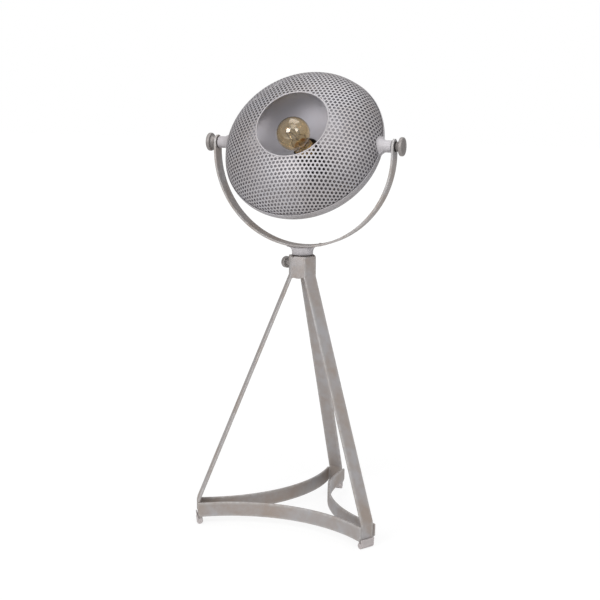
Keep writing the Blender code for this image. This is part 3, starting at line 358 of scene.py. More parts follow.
def knob_finish(finish):
    """Darkened, handled metal with turning marks, lighter on its edges with worn metal and a painted
    highlight.
    """
    metal = Surface("knob metal")
    where = metal.place()
    rings = metal.noise(metal.place((4.0, 1400.0, 1.0), "UV"), 1.0, 2.0, 0.5)
    clouds = metal.ramp(metal.noise(where, 90.0, 4.0, 0.6), (0.35, 0.0), (0.70, 1.0))
    edge_wear_and_sheen = metal.node("ShaderNodeAttribute", output=2, attribute_name="edge")
    tone = metal.blend(clouds * 0.45, finish.knob_metal, finish.bar_paint)
    # Lighter edges: worn metal and a painted highlight.
    tone = metal.blend(edge_wear_and_sheen * 0.55, tone, finish.bar_edge)
    return metal.set(
        base_color=tone,
        metallic=0.55,
        roughness=0.46 + 0.12 * rings,
        normal=metal.bump(rings, 0.00008, 0.5),
    ).material


def weld_finish(finish):
    """Painted weld metal, a little lighter and lumpier than the bar beside it."""
    bead = Surface("painted weld")
    where = bead.place()
    lumps = bead.noise(where, 420.0, 3.0, 0.6)
    tone = bead.blend(lumps * 0.5, finish.bar_paint, finish.bar_edge)
    return bead.set(
        base_color=tone,
        metallic=0.3,
        roughness=0.55 + 0.1 * lumps,
        normal=bead.bump(lumps, 0.0004, 0.6),
    ).material


def vinyl_finish(finish):
    """Soft, slightly clear vinyl."""
    vinyl = Surface("clear vinyl")
    cloud = vinyl.noise(vinyl.place(), 240.0, 3.0, 0.5)
    return vinyl.set(
        base_color=vinyl.blend(cloud * 0.4, finish.pad_vinyl, finish.bar_edge),
        roughness=0.30 + 0.15 * cloud,
        transmission_weight=0.25,
        ior=1.48,
        normal=vinyl.bump(cloud, 0.0001, 0.4),
    ).material


def plain_finish(name, tone, roughness, metallic=0.0):
    """One tone with a fine unevenness in its gloss, for the small hardware."""
    made = Surface(name)
    speckle = made.noise(made.place(), 500.0, 3.0, 0.6)
    darker = tuple(channel * 0.7 for channel in tone)
    return made.set(
        base_color=made.blend(speckle * 0.5, tone, darker),
        metallic=metallic,
        roughness=roughness + 0.12 * speckle,
        normal=made.bump(speckle, 0.00005, 0.4),
    ).material


def glass_finish(finish):
    """Clear amber glass."""
    glass = Surface("amber glass")
    return glass.set(
        base_color=finish.glass_tint,
        roughness=0.0,
        transmission_weight=1.0,
        ior=1.75,
    ).material


FINISHES = {}


def finish_of(name):
    return FINISHES[name]


def put(name, mesh, finish, body, slot, *nodes):
    """Makes the piece, finishes it, and hands it to a moving body of the lamp."""
    mesh.name = name
    obj = bpy.data.objects.new(name, mesh)
    bpy.context.scene.collection.objects.link(obj)
    finishes = finish if isinstance(finish, (list, tuple)) else [finish]
    for each in finishes:
        mesh.materials.append(finish_of(each))
    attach(obj, body)
    if nodes:
        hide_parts(*nodes)
    return obj


def rings_mesh(name, rings, uv, edge=None, closed=False, capped=True, sharp=30.0):
    """Skins rings of points: rings[i][j], with uv[i][j] in metres and an optional edge mask for worn
    paint and a painted highlight.

    closed joins the last ring to the first, and capped fills the two end rings.
    """
    count = len(rings[0])
    shape = bmesh.new()
    layer = shape.loops.layers.uv.new("along")
    mask = shape.verts.layers.float.new("edge")
    rows = [[shape.verts.new(point) for point in ring] for ring in rings]
    pairs = list(zip(range(len(rows)), list(range(1, len(rows))) + ([0] if closed else [])))
    for i, k in pairs:
        for j in range(count):
            n = (j + 1) % count
            corners = (rows[i][j], rows[k][j], rows[k][n], rows[i][n])
            if len(set(corner.co.to_tuple(8) for corner in corners)) < 3:
                continue
            face = shape.faces.new(corners)
            places = (uv[i][j], uv[k][j], uv[k][j + 1], uv[i][j + 1])
            for loop, place in zip(face.loops, places):
                loop[layer].uv = place
    if capped and not closed:
        for row in (rows[0], rows[-1]):
            if (row[0].co - row[count // 2].co).length > 1e-7:
                shape.faces.new(row)
    mesh = bpy.data.meshes.new(name)
    if edge is not None:
        for row, values in zip(rows, edge):
            for vertex, value in zip(row, values):
                vertex[mask] = value
    bmesh.ops.remove_doubles(shape, verts=shape.verts, dist=1e-6)
    bmesh.ops.recalc_face_normals(shape, faces=shape.faces)
    shape.to_mesh(mesh)
    shape.free()
    mesh.shade_smooth()
    mesh.set_sharp_from_angle(angle=math.radians(sharp))
    return mesh


def bar_section(width, thickness, radius, corner_steps=4):
    """A rounded bar section as (across, through, along its outline, edge mask for worn paint and a
    painted highlight).
    """
    half_w, half_t = width / 2, thickness / 2
    radius = min(radius, half_w * 0.98, half_t * 0.98)
    points = []
    for index, (sx, sy) in enumerate(((1, 1), (-1, 1), (-1, -1), (1, -1))):
        centre = (sx * (half_w - radius), sy * (half_t - radius))
        for step in range(corner_steps + 1):
            angle = math.radians(90) * (index + step / corner_steps)
            points.append(
                (centre[0] + radius * math.cos(angle), centre[1] + radius * math.sin(angle), 1.0)
            )
    for index, (sx, sy) in reversed(list(enumerate(((0, 1), (-1, 0), (0, -1), (1, 0))))):
        place = (index + 1) * (corner_steps + 1)
        spans = 5 if sy else 1
        before, after = points[place - 1], points[place % len(points)]
        middle = [
            tuple(before[k] + (after[k] - before[k]) * t / (spans + 1) for k in (0, 1)) + (0.0,)
            for t in range(1, spans + 1)
        ]
        points[place:place] = middle
    return points


def flat_bar(name, stations, thickness, edge_radius):
    """A flat bar through stations of (centre, across, through, width)."""
    rings, uv, edge = [], [], []
    length = 0.0
    last = None
    for centre, across, through, width in stations:
        if last is not None:
            length += (centre - last).length
        last = centre
        section = bar_section(width, thickness, edge_radius)
        rings.append([centre + across * x + through * y for x, y, _ in section])
        outline = 0.0
        row = []
        for j, (x, y, _) in enumerate(section + section[:1]):
            if j:
                outline += math.hypot(x - section[j - 1][0], y - section[j - 1][1])
            row.append((length, outline))
        uv.append(row)
        edge.append([edge_wear_and_sheen for _, _, edge_wear_and_sheen in section])
    return rings_mesh(name, rings, uv, edge, sharp=50.0)


def rounded_ends(stations, radius):
    """Adds the small roll at both ends of a bar, where the cut end meets its faces."""
    out = []
    for end in (0, -1):
        centre, across, through, width = stations[end]
        inner = stations[1] if end == 0 else stations[-2]
        way = (centre - inner[0]).normalized()
        roll = [
            (centre - way * radius * (1 - math.sin(a)), across, through,
             width - 2 * radius * (1 - math.cos(a)))
            for a in (0.0, math.radians(40), math.radians(75))
        ]
        out.append(roll)
    body = stations[1:-1]
    return out[0][::-1] + body + out[1]


def bent_line(corners, radius, steps=10):
    """Points and headings along a plane line of (x, y), its inner corners rounded."""
    points = [(Vector(corners[0]), (Vector(corners[1]) - Vector(corners[0])).normalized())]
    for before, corner, after in zip(corners, corners[1:], corners[2:]):
        corner = Vector(corner)
        way_in = (corner - Vector(before)).normalized()
        way_out = (Vector(after) - corner).normalized()
        turn = way_in.angle_signed(way_out)
        start = corner - way_in * radius * math.tan(abs(turn) / 2)
        side = Vector((-way_in.y, way_in.x)) * (-1 if turn > 0 else 1)
        centre = start + side * radius
        for step in range(steps + 1):
            spin = Matrix.Rotation(-turn * step / steps, 2)
            points.append((centre + spin @ (start - centre), spin @ way_in))
    last = (Vector(corners[-1]) - Vector(corners[-2])).normalized()
    points.append((Vector(corners[-1]), last))
    return points


def radial(angle):
    return Vector((math.cos(angle), math.sin(angle), 0.0))


LEGS = (("leg_rear", 90), ("leg_front_left", 210), ("leg_front_right", 330))
STRAPS = (("base_strap_left", 150), ("base_strap_front", 270), ("base_strap_right", 30))
PLATES = (("hub_plate_left", 150), ("hub_plate_front", 270), ("hub_plate_right", 30))
PADS = (("foot_pad_rear", 90), ("foot_pad_front_left", 210), ("foot_pad_front_right", 330))


def corner_width(distance, width, radius):
    """Width of a bar at a distance from its end, where both corners have that radius."""
    if distance >= radius:
        return width
    inset = radius - math.sqrt(max(0.0, radius * radius - (radius - distance) ** 2))
    return width - 2 * inset


def corner_distances(radius, steps=8):
    """Distances from a bar's end at which its rounded corner is sampled."""
    return [radius * (1 - math.cos(math.radians(90) * k / steps)) for k in range(steps + 1)]


class LAMP_OT_legs(bpy.types.Operator):
    """Builds the three flat-bar legs."""

    bl_idname = "lamp.legs"
    bl_label = "Legs"

    def execute(self, context):
        s = context.scene.lamp_stand
        top = s.hub_flats / 2 - s.bar_thickness / 2
        foot = s.foot_radius - s.bar_thickness / 2
        corners = [(foot, s.leg_bottom), (foot, s.lower_bend), (top, s.upper_bend), (top, s.hub_top)]
        line = bent_line(corners, s.bend_radius)
        for name, angle in LEGS:
            out = radial(math.radians(angle))
            across = UP.cross(out)
            stations = []
            for place, way in line[:-1]:
                stations.append(
                    (STAND_AXIS + out * place.x + UP * place.y, across,
                     out * way.y - UP * way.x, s.bar_width)
                )
            end = STAND_AXIS + out * top
            for distance in reversed(corner_distances(s.leg_corner)):
                ground = max(distance, s.leg_corner * 0.01)
                lost = s.bar_width - corner_width(ground, s.bar_width, s.leg_corner)
                place = end + UP * (s.hub_top - distance) - across * (lost / 4)
                stations.append((place, across, out, s.bar_width - lost / 2))
            stations = rounded_ends(stations, s.bar_edge)
            mesh = flat_bar(name, stations, s.bar_thickness, s.bar_edge)
            put(name + "_bar", mesh, "bar", "stand", "zinc_paint", name)
        return {"FINISHED"}


class LAMP_OT_base_straps(bpy.types.Operator):
    """Builds the three curved straps that join the feet."""

    bl_idname = "lamp.base_straps"
    bl_label = "Base Straps"

    def execute(self, context):
        s = context.scene.lamp_stand
        half = math.radians(60)
        shift = (s.bar_thickness + s.strap_overhang) * math.tan(s.strap_toe_in)
        skew = s.bar_thickness / 2 / math.cos(s.strap_toe_in)
        side = s.bar_width / 2 + s.seat_gap + skew + shift
        reach = s.foot_radius + s.strap_overhang
        end_u = reach * math.cos(half) + side * math.sin(half)
        end_v = reach * math.sin(half) - side * math.cos(half)
        sweep = math.pi / 2 - half + s.strap_toe_in
        radius = end_v / math.sin(sweep)
        centre_u = end_u + radius * math.cos(sweep)
        steps = 72
        middle = s.strap_bottom + s.strap_height / 2
        for name, angle in STRAPS:
            out = radial(math.radians(angle))
            along = UP.cross(out)
            stations = []
            for k in range(steps + 1):
                turn = -sweep + 2 * sweep * k / steps
                radial_way = -out * math.cos(turn) + along * math.sin(turn)
                centre = STAND_AXIS + out * centre_u + radial_way * radius
                arc = radius * (sweep - abs(turn))
                cut = max(0.0, s.strap_chamfer - arc)
                stations.append(
                    (centre + UP * (middle + cut / 2), UP, radial_way, s.strap_height - cut)
                )
            stations = rounded_ends(stations, s.bar_edge)
            mesh = flat_bar(name, stations, s.bar_thickness, s.bar_edge)
            put(name + "_bar", mesh, "bar", "stand", "zinc_paint", name)
        return {"FINISHED"}


class LAMP_OT_foot_pads(bpy.types.Operator):
    """Builds the soft edge pads on the legs' ends."""

    bl_idname = "lamp.foot_pads"
    bl_label = "Foot Pads"

    def outline(self, s):
        slot = s.bar_thickness / 2 + s.seat_gap * 0.2
        floor = s.leg_bottom - s.seat_gap * 0.2
        cx, cy = -0.0008, s.pad_tube - 0.00025
        flat = math.acos(cy / s.pad_tube)
        points = [
            (slot, floor),
            (slot + 0.0003, s.pad_lip * 0.8),
            (slot + 0.0009, s.pad_lip - 0.0002),
            (slot + 0.0012, s.pad_lip),
            (slot + s.pad_wall + 0.0005, s.pad_lip),
            (slot + s.pad_wall + 0.0009, s.pad_lip - 0.0006),
            (slot + s.pad_wall + 0.0003, s.pad_lip * 0.78),
            (slot + s.pad_wall, floor * 0.95),
        ]
        for k in range(11):
            a = (-math.pi / 2 + flat) * k / 10
            points.append((cx + s.pad_tube * math.cos(a), cy + s.pad_tube * math.sin(a)))
        for k in range(15):
            a = -math.pi / 2 - flat - (math.pi / 2 - flat + math.radians(42)) * k / 14
            points.append((cx + s.pad_tube * math.cos(a), cy + s.pad_tube * math.sin(a)))
        points += [
            (-slot - s.pad_wall, floor * 1.05),
            (-slot - s.pad_wall, s.pad_inner_lip - 0.0005),
            (-slot - s.pad_wall + 0.0004, s.pad_inner_lip),
            (-slot - 0.0002, s.pad_inner_lip),
            (-slot, s.pad_inner_lip - 0.0003),
            (-slot, floor),
        ]
        return points

    def execute(self, context):
        s = context.scene.lamp_stand
        outline = self.outline(s)
        middle = Vector((0.0, s.pad_tube, 0.0))
        for name, angle in PADS:
            out = radial(math.radians(angle))
            across = UP.cross(out)
            centre = STAND_AXIS + out * (s.foot_radius - s.bar_thickness / 2)
            rings, uv = [], []
            half = s.pad_length / 2
            for place, inset in ((-1, 0.0004), (-0.975, 0.0001), (-0.94, 0.0), (0.0, 0.0),
                                 (0.94, 0.0), (0.975, 0.0001), (1, 0.0004)):
                ring = []
                for x, y in outline:
                    pull = Vector((x, y, 0.0)) - middle
                    scale = 1.0 - inset / max(pull.length, 0.002)
                    py = middle.y + pull.y * scale if y > 0.0001 else y
                    ring.append(centre + out * (pull.x * scale) + UP * py + across * half * place)
                rings.append(ring)
                uv.append([(half * place, k * 0.001) for k in range(len(ring) + 1)])
            mesh = rings_mesh(name, rings, uv, sharp=40.0)
            put(name + "_vinyl", mesh, "vinyl", "stand", "clear_vinyl", name)
        return {"FINISHED"}


def plate_points(half_width, height, top_corners, corner, sag, steps=6):
    """Outline of a hub plate: rounded corners and a slightly bowed lower edge."""
    points = []
    for side, top_corner in zip((-1, 1), top_corners):
        cx, cy = side * (half_width - top_corner), height / 2 - top_corner
        ground = []
        for k in range(steps + 1):
            a = math.radians(90) * k / steps
            ground.append((cx + side * top_corner * math.cos(a), cy + top_corner * math.sin(a)))
        points += ground if side == -1 else ground[::-1]
    for side in (1, -1):
        cx, cy = side * (half_width - corner), -height / 2 + corner + sag
        arc = []
        for k in range(steps + 1):
            a = math.radians(90) * k / steps
            arc.append((cx + side * corner * math.cos(a), cy - corner * math.sin(a)))
        points += arc if side == 1 else arc[::-1]
        if side == 1:
            inner = half_width - corner
            for k in range(1, 8):
                x = inner - 2 * inner * k / 8
                points.append((x, -height / 2 + sag * (x / inner) ** 2))
    return points


class LAMP_OT_hub(bpy.types.Operator):
    """Builds the hub's plates and its upright ground corners."""

    bl_idname = "lamp.hub"
    bl_label = "Hub"

    def execute(self, context):
        s = context.scene.lamp_stand
        apothem = s.hub_flats / 2
        corner = apothem / math.cos(math.radians(30))
        half_width = corner / 2 - s.hub_corner * 0.35
        middle = s.hub_top - s.hub_height / 2
        for name, angle in PLATES:
            out = radial(math.radians(angle))
            across = UP.cross(out)
            tops = (s.hub_top_corner, s.hub_filled_corner)
            outline = plate_points(half_width, s.hub_height, tops, s.hub_lower_corner, s.hub_bow)
            rings, uv = [], []
            for depth, inset in ((s.bar_thickness * 0.9, 0.002), (0.0008, 0.0), (0.0002, 0.00018),
                                 (0.0, 0.0006)):
                ring, row = [], []
                for x, y in outline + outline[:1]:
                    scale_x = 1 - inset / half_width
                    scale_y = 1 - inset / (s.hub_height / 2)
                    place = (STAND_AXIS + out * (apothem - depth) + across * x * scale_x
                             + UP * (middle + y * scale_y))
                    ring.append(place)
                    row.append((middle + y, x))
                rings.append(ring[:-1])
                uv.append(row)
            mesh = rings_mesh(name, rings, uv, sharp=35.0)
            put(name + "_face", mesh, "bar", "stand", "zinc_paint", name)
        radius = s.hub_corner
        inner = corner - radius / math.cos(math.radians(30))
        height = s.hub_height
        top = s.hub_top - 0.0006
        for index in range(6):
            ground = s.hub_filled_corner if index % 2 else s.hub_top_corner * 1.2
            levels = [
                (ground * part, size)
                for part, size in ((0.42, 0.25), (0.52, 0.60), (0.72, 0.88), (1.0, 1.0))
            ]
            levels += [(ground + (height - 0.0015 - ground) * k / 12, 1.0) for k in range(1, 13)]
            levels += [(height - 0.0006, 0.85), (height, 0.35)]
            angle = math.radians(60 * index)
            centre = STAND_AXIS + radial(angle) * inner
            rings, uv = [], []
            for depth, size in levels:
                wobble = 0.00007 * noise.noise(Vector((index * 3.1, depth * 500, 0.0)))
                r = radius * size + wobble
                ring = [
                    centre + radial(angle + math.tau * k / 20) * r + UP * (top - depth * 0.97)
                    for k in range(20)
                ]
                rings.append(ring)
                uv.append([(depth, r * math.tau * k / 20) for k in range(21)])
            mesh = rings_mesh(f"hub_corner_{index}", rings, uv, sharp=60.0)
            put(f"hub_corner_{index}", mesh, "bar", "stand", "zinc_paint")
        return {"FINISHED"}


def turned(name, profile, origin, axis, steps=64, loop=False, sharp=30.0, edge_wear_and_sheen_weight=0.0):
    """A profile of (radius, height) turned about an axis, with its corners marked for worn metal and a
    painted highlight.
    """
    axis = axis.normalized()
    side = axis.orthogonal().normalized()
    other = axis.cross(side)
    lengths = [0.0]
    for before, after in zip(profile, profile[1:]):
        lengths.append(lengths[-1] + math.dist(before, after))
    rings = []
    for k in range(steps):
        a = math.tau * k / steps
        way = side * math.cos(a) + other * math.sin(a)
        rings.append([origin + way * r + axis * h for r, h in profile])
    count = len(profile)
    shape = bmesh.new()
    layer = shape.loops.layers.uv.new("along")
    mask = shape.verts.layers.float.new("edge")
    columns = []
    for k in range(steps):
        column = []
        for j, point in enumerate(rings[k]):
            if profile[j][0] < 1e-7 and k:
                column.append(columns[0][j])
                continue
            vertex = shape.verts.new(point)
            # Corners get the edge mask: worn metal and a painted highlight.
            if edge_wear_and_sheen_weight and 0 < j < count - 1:
                before = Vector(profile[j - 1]) - Vector(profile[j])
                after = Vector(profile[j + 1]) - Vector(profile[j])
                if before.length > 0 and after.length > 0:
                    bend = math.pi - before.angle(after)
                    vertex[mask] = edge_wear_and_sheen_weight * min(1.0, bend / 0.5)
            column.append(vertex)
        columns.append(column)
    spans = count if loop else count - 1
    for k in range(steps):
        a, b = columns[k], columns[(k + 1) % steps]
        for j in range(spans):
            n = (j + 1) % count
            corners = []
            for vertex in (a[j], a[n], b[n], b[j]):
                if vertex not in corners:
                    corners.append(vertex)
            if len(corners) < 3:
                continue
            face = shape.faces.new(corners)
            around = max(profile[j][0], profile[n][0]) * math.tau / steps
            for loop_ in face.loops:
                row = j if loop_.vert in (a[j], b[j]) else n
                turn = k if loop_.vert in (a[j], a[n]) else k + 1
                height = lengths[row] if row or j == 0 else lengths[-1]
                loop_[layer].uv = (turn * around, height)
    bmesh.ops.recalc_face_normals(shape, faces=shape.faces)
    mesh = bpy.data.meshes.new(name)
    shape.to_mesh(mesh)
    shape.free()
    mesh.shade_smooth()
    mesh.set_sharp_from_angle(angle=math.radians(sharp))
    return mesh


def arc(centre, radius, start, stop, steps):
    """Points on an arc, with its angles in degrees."""
    return [
        (
            centre[0] + radius * math.cos(math.radians(start + (stop - start) * k / steps)),
            centre[1] + radius * math.sin(math.radians(start + (stop - start) * k / steps)),
        )
        for k in range(steps + 1)
    ]


class LAMP_OT_lock_screw(bpy.types.Operator):
    """Builds the lock screw in the left hub plate."""

    bl_idname = "lamp.lock_screw"
    bl_label = "Lock Screw"

    def execute(self, context):
        s = context.scene.lamp_stand
        k = context.scene.lamp_knobs
        apothem = s.hub_flats / 2
        start = apothem + k.screw_standoff
        end = start + k.screw_head_thickness
        head = k.screw_head / 2
        roll = 0.0011
        profile = [(0.0, end), (head - roll - 0.002, end)]
        profile += arc((head - roll, end - roll), roll, 90, 0, 6)
        profile += arc((head - roll, start + roll), roll, 0, -90, 6)
        profile += [(0.0067, start), (0.0065, start + 0.0009), (0.0046, start + 0.0009)]
        profile += [(0.0044, start - 0.0006), (0.0038, start - 0.0030), (0.0031, start - 0.0048)]
        crest, root, pitch, tip = 0.0030, 0.00265, 0.0010, 0.0065
        for index in range(9):
            z = start - 0.0052 - index * pitch
            if z > apothem + 0.0006:
                profile += [(crest, z), (root, z - pitch / 2)]
        profile += [(crest, apothem + 0.0004), (crest, tip), (0.0, tip)]
        mesh = turned("lock_screw", profile, LOCK, LOCK_AXIS, edge_wear_and_sheen_weight=1.0)
        put("lock_screw_turned", mesh, "knob", "lock_screw", "knob_metal", "lock_screw")
        return {"FINISHED"}


class LAMP_OT_yoke(bpy.types.Operator):
    """Builds the forked yoke from one bent flat bar with round ends."""

    bl_idname = "lamp.yoke"
    bl_label = "Yoke"

    def execute(self, context):
        s = context.scene.lamp_stand
        y = context.scene.lamp_yoke
        radius = y.radius - s.bar_thickness / 2
        half = s.bar_width / 2
        across = Vector((0.0, 1.0, 0.0))
        centre = PIVOT - UP * y.arc_drop
        right = []
        for distance in corner_distances(half, 12):
            width = corner_width(max(distance, half * 0.004), s.bar_width, half)
            place = PIVOT + Vector((radius, 0.0, half - distance))
            right.append((place, across, Vector((1.0, 0.0, 0.0)), width))
        steps = 144
        bend = []
        for k in range(steps + 1):
            a = -math.pi * k / steps
            out = Vector((math.cos(a), 0.0, math.sin(a)))
            bend.append((centre + out * radius, across, out, s.bar_width))
        left = [
            (Vector((2 * PIVOT.x - p.x, p.y, p.z)), across, Vector((-1.0, 0.0, 0.0)), width)
            for p, _, _, width in right[::-1]
        ]
        stations = right + bend + left
        mesh = flat_bar("yoke", stations, s.bar_thickness, s.bar_edge)
        put("yoke_bar", mesh, "bar", "yoke", "zinc_paint", "yoke_strap")
        return {"FINISHED"}


class LAMP_OT_neck(bpy.types.Operator):
    """Builds the round neck and the weld that flares into the yoke's underside."""

    bl_idname = "lamp.neck"
    bl_label = "Neck"

    def execute(self, context):
        s = context.scene.lamp_stand
        y = context.scene.lamp_yoke
        radius = y.neck_diameter / 2
        centre_z = PIVOT.z - y.arc_drop
        steps = 96
        rings, uv, edge = [], [], []

        def underside(x):
            return centre_z - math.sqrt(y.radius ** 2 - x * x)

        side_reach = 0.0007
        full_to, fade = 0.60, 0.25

        def flare(a):
            """Reach of the weld: whole under the bar, and a thin line past the bar's edges."""
            under = 1.0 - min(1.0, max(0.0, (abs(math.sin(a)) - full_to) / fade))
            return side_reach + (y.neck_fillet - side_reach) * under

        levels = [("inner", 0.0), ("foot", 0.0), ("foot", 0.35), ("foot", 1.0)]
        for kind, t in levels:
            ring = []
            for k in range(steps):
                a = math.tau * k / steps
                r = radius - (0.0042 if kind == "inner" else 0.0006 * (1 - t))
                ring.append((a, r, y.neck_bottom + (0.0006 * t if kind == "foot" else 0.0)))
            rings.append(ring)
        for t in [0.0] + [k / 8 for k in range(1, 9)]:
            ring = []
            for k in range(steps):
                a = math.tau * k / steps
                reach = flare(a)
                r = radius + reach * (1 - math.cos(math.radians(90) * t))
                top = underside(min(radius + reach, abs((radius + reach) * math.cos(a))))
                top -= 0.0001
                lumps = 0.00012 * noise.noise(Vector((a * 5.0, t * 3.0, 1.0)))
                z = top - reach * 1.1 * (1 - math.sin(math.radians(90) * t))
                ring.append((a, r + lumps * (t > 0), z))
            rings.append(ring)
        last = []
        for k in range(steps):
            a = math.tau * k / steps
            r = radius - 0.004
            last.append((a, r, underside(abs(r * math.cos(a))) - 0.0001))
        rings.append(last)
        points = [
            [STAND_AXIS + radial(a) * r + UP * z for a, r, z in ring] for ring in rings
        ]
        for ring in rings:
            row = [(a * radius, z) for a, _, z in ring]
            row.append((math.tau * radius, ring[0][2]))
            uv.append([(v, u) for u, v in row])
            edge.append([0.0] * steps)
        mesh = rings_mesh("yoke_neck", points, uv, edge, sharp=50.0)
        put("yoke_neck_welded", mesh, "neck", "yoke", "zinc_paint", "yoke_neck")
        pip_x, pip_y = 0.0283, -0.006
        pip = STAND_AXIS + Vector((pip_x, pip_y, underside(pip_x) + s.bar_thickness * 1.1))
        mesh = blob_mesh("weld_pip", pip, Vector((0.0024, 0.0020, 0.0013)))
        put("yoke_weld_pip", mesh, "bar", "yoke", "zinc_paint")
        return {"FINISHED"}


def blob_mesh(name, centre, size):
    """A low lump of weld metal."""
    shape = bmesh.new()
    bmesh.ops.create_uvsphere(shape, u_segments=20, v_segments=12, radius=1.0)
    for vertex in shape.verts:
        lump = 1.0 + 0.16 * noise.noise(vertex.co * 1.7)
        vertex.co = centre + Vector(
            (vertex.co.x * size.x, vertex.co.y * size.y, vertex.co.z * size.z)
        ) * lump
    mesh = bpy.data.meshes.new(name)
    shape.to_mesh(mesh)
    shape.free()
    mesh.shade_smooth()
    return mesh


def axes_matrix(origin, z):
    """Axes at a place: Z along the given way, X across as near as can be to the tilt axis."""
    y = z.cross(Vector((1.0, 0.0, 0.0))).normalized()
    matrix = Matrix((y.cross(z), y, z)).transposed().to_4x4()
    matrix.translation = origin
    return matrix


def ellipse(radius, height, start_radius, end_radius, steps):
    start = math.acos(min(1.0, start_radius / radius))
    end = math.acos(min(1.0, end_radius / radius))
    return [
        (radius * math.cos(start + (end - start) * k / steps),
         height * math.sin(start + (end - start) * k / steps))
        for k in range(steps + 1)
    ]


class LAMP_OT_bowl(bpy.types.Operator):
    """Builds the smooth rear bowl with its straight lip."""

    bl_idname = "lamp.bowl"
    bl_label = "Rear Bowl"

    def execute(self, context):
        h = context.scene.lamp_head
        inner = h.radius - h.wall
        depth = h.bowl_depth - h.wall
        outside = ellipse(h.radius, -h.bowl_depth, h.radius, h.bowl_flat, 40)
        inside = ellipse(inner, -depth, inner, h.bowl_flat, 40)
        floor = outside[-1][1]
        roll = h.wall / 2
        middle = h.radius - roll
        inlet = 0.0053
        lip = arc((middle, h.bowl_lip - roll), roll, 180, 0, 8)
        profile = lip + outside + [(inlet, floor), (inlet, floor + h.wall)] + inside[::-1]
        mesh = turned("rear_bowl", profile, PIVOT, HEAD_AXIS, 144, loop=True, sharp=40.0)
        obj = put("rear_bowl_sheet", mesh, ["head", "inside"], "head", "head_paint", "rear_bowl")
        # Faces inside the head take the darker inside finish: painted shade in the hollow.
        for face in obj.data.polygons:
            centre = face.center - PIVOT
            level = centre.dot(HEAD_AXIS)
            out = (centre - HEAD_AXIS * level).length
            deep = level / (h.bowl_depth - h.wall / 2)
            limit = (h.radius - h.wall / 2) * math.sqrt(max(0.0, 1 - deep ** 2))
            face.material_index = 1 if out < limit - 0.0001 and level < h.bowl_lip else 0
        return {"FINISHED"}


def dome_table(h, steps=400):
    """Flat-sheet radius against the dome's (radius, height)."""
    angles = np.linspace(math.pi / 2, 0.0, steps)
    r = h.dome_radius * np.cos(angles)
    z = h.dome_height * np.sin(angles)
    length = np.hypot(np.diff(r), np.diff(z))
    area = np.concatenate([[0.0], np.cumsum(math.tau * (r[1:] + r[:-1]) / 2 * length)])
    along = np.concatenate([[0.0], np.cumsum(length)])
    return np.sqrt(area / math.pi) * (1 - h.pressing) + along * h.pressing, r, z


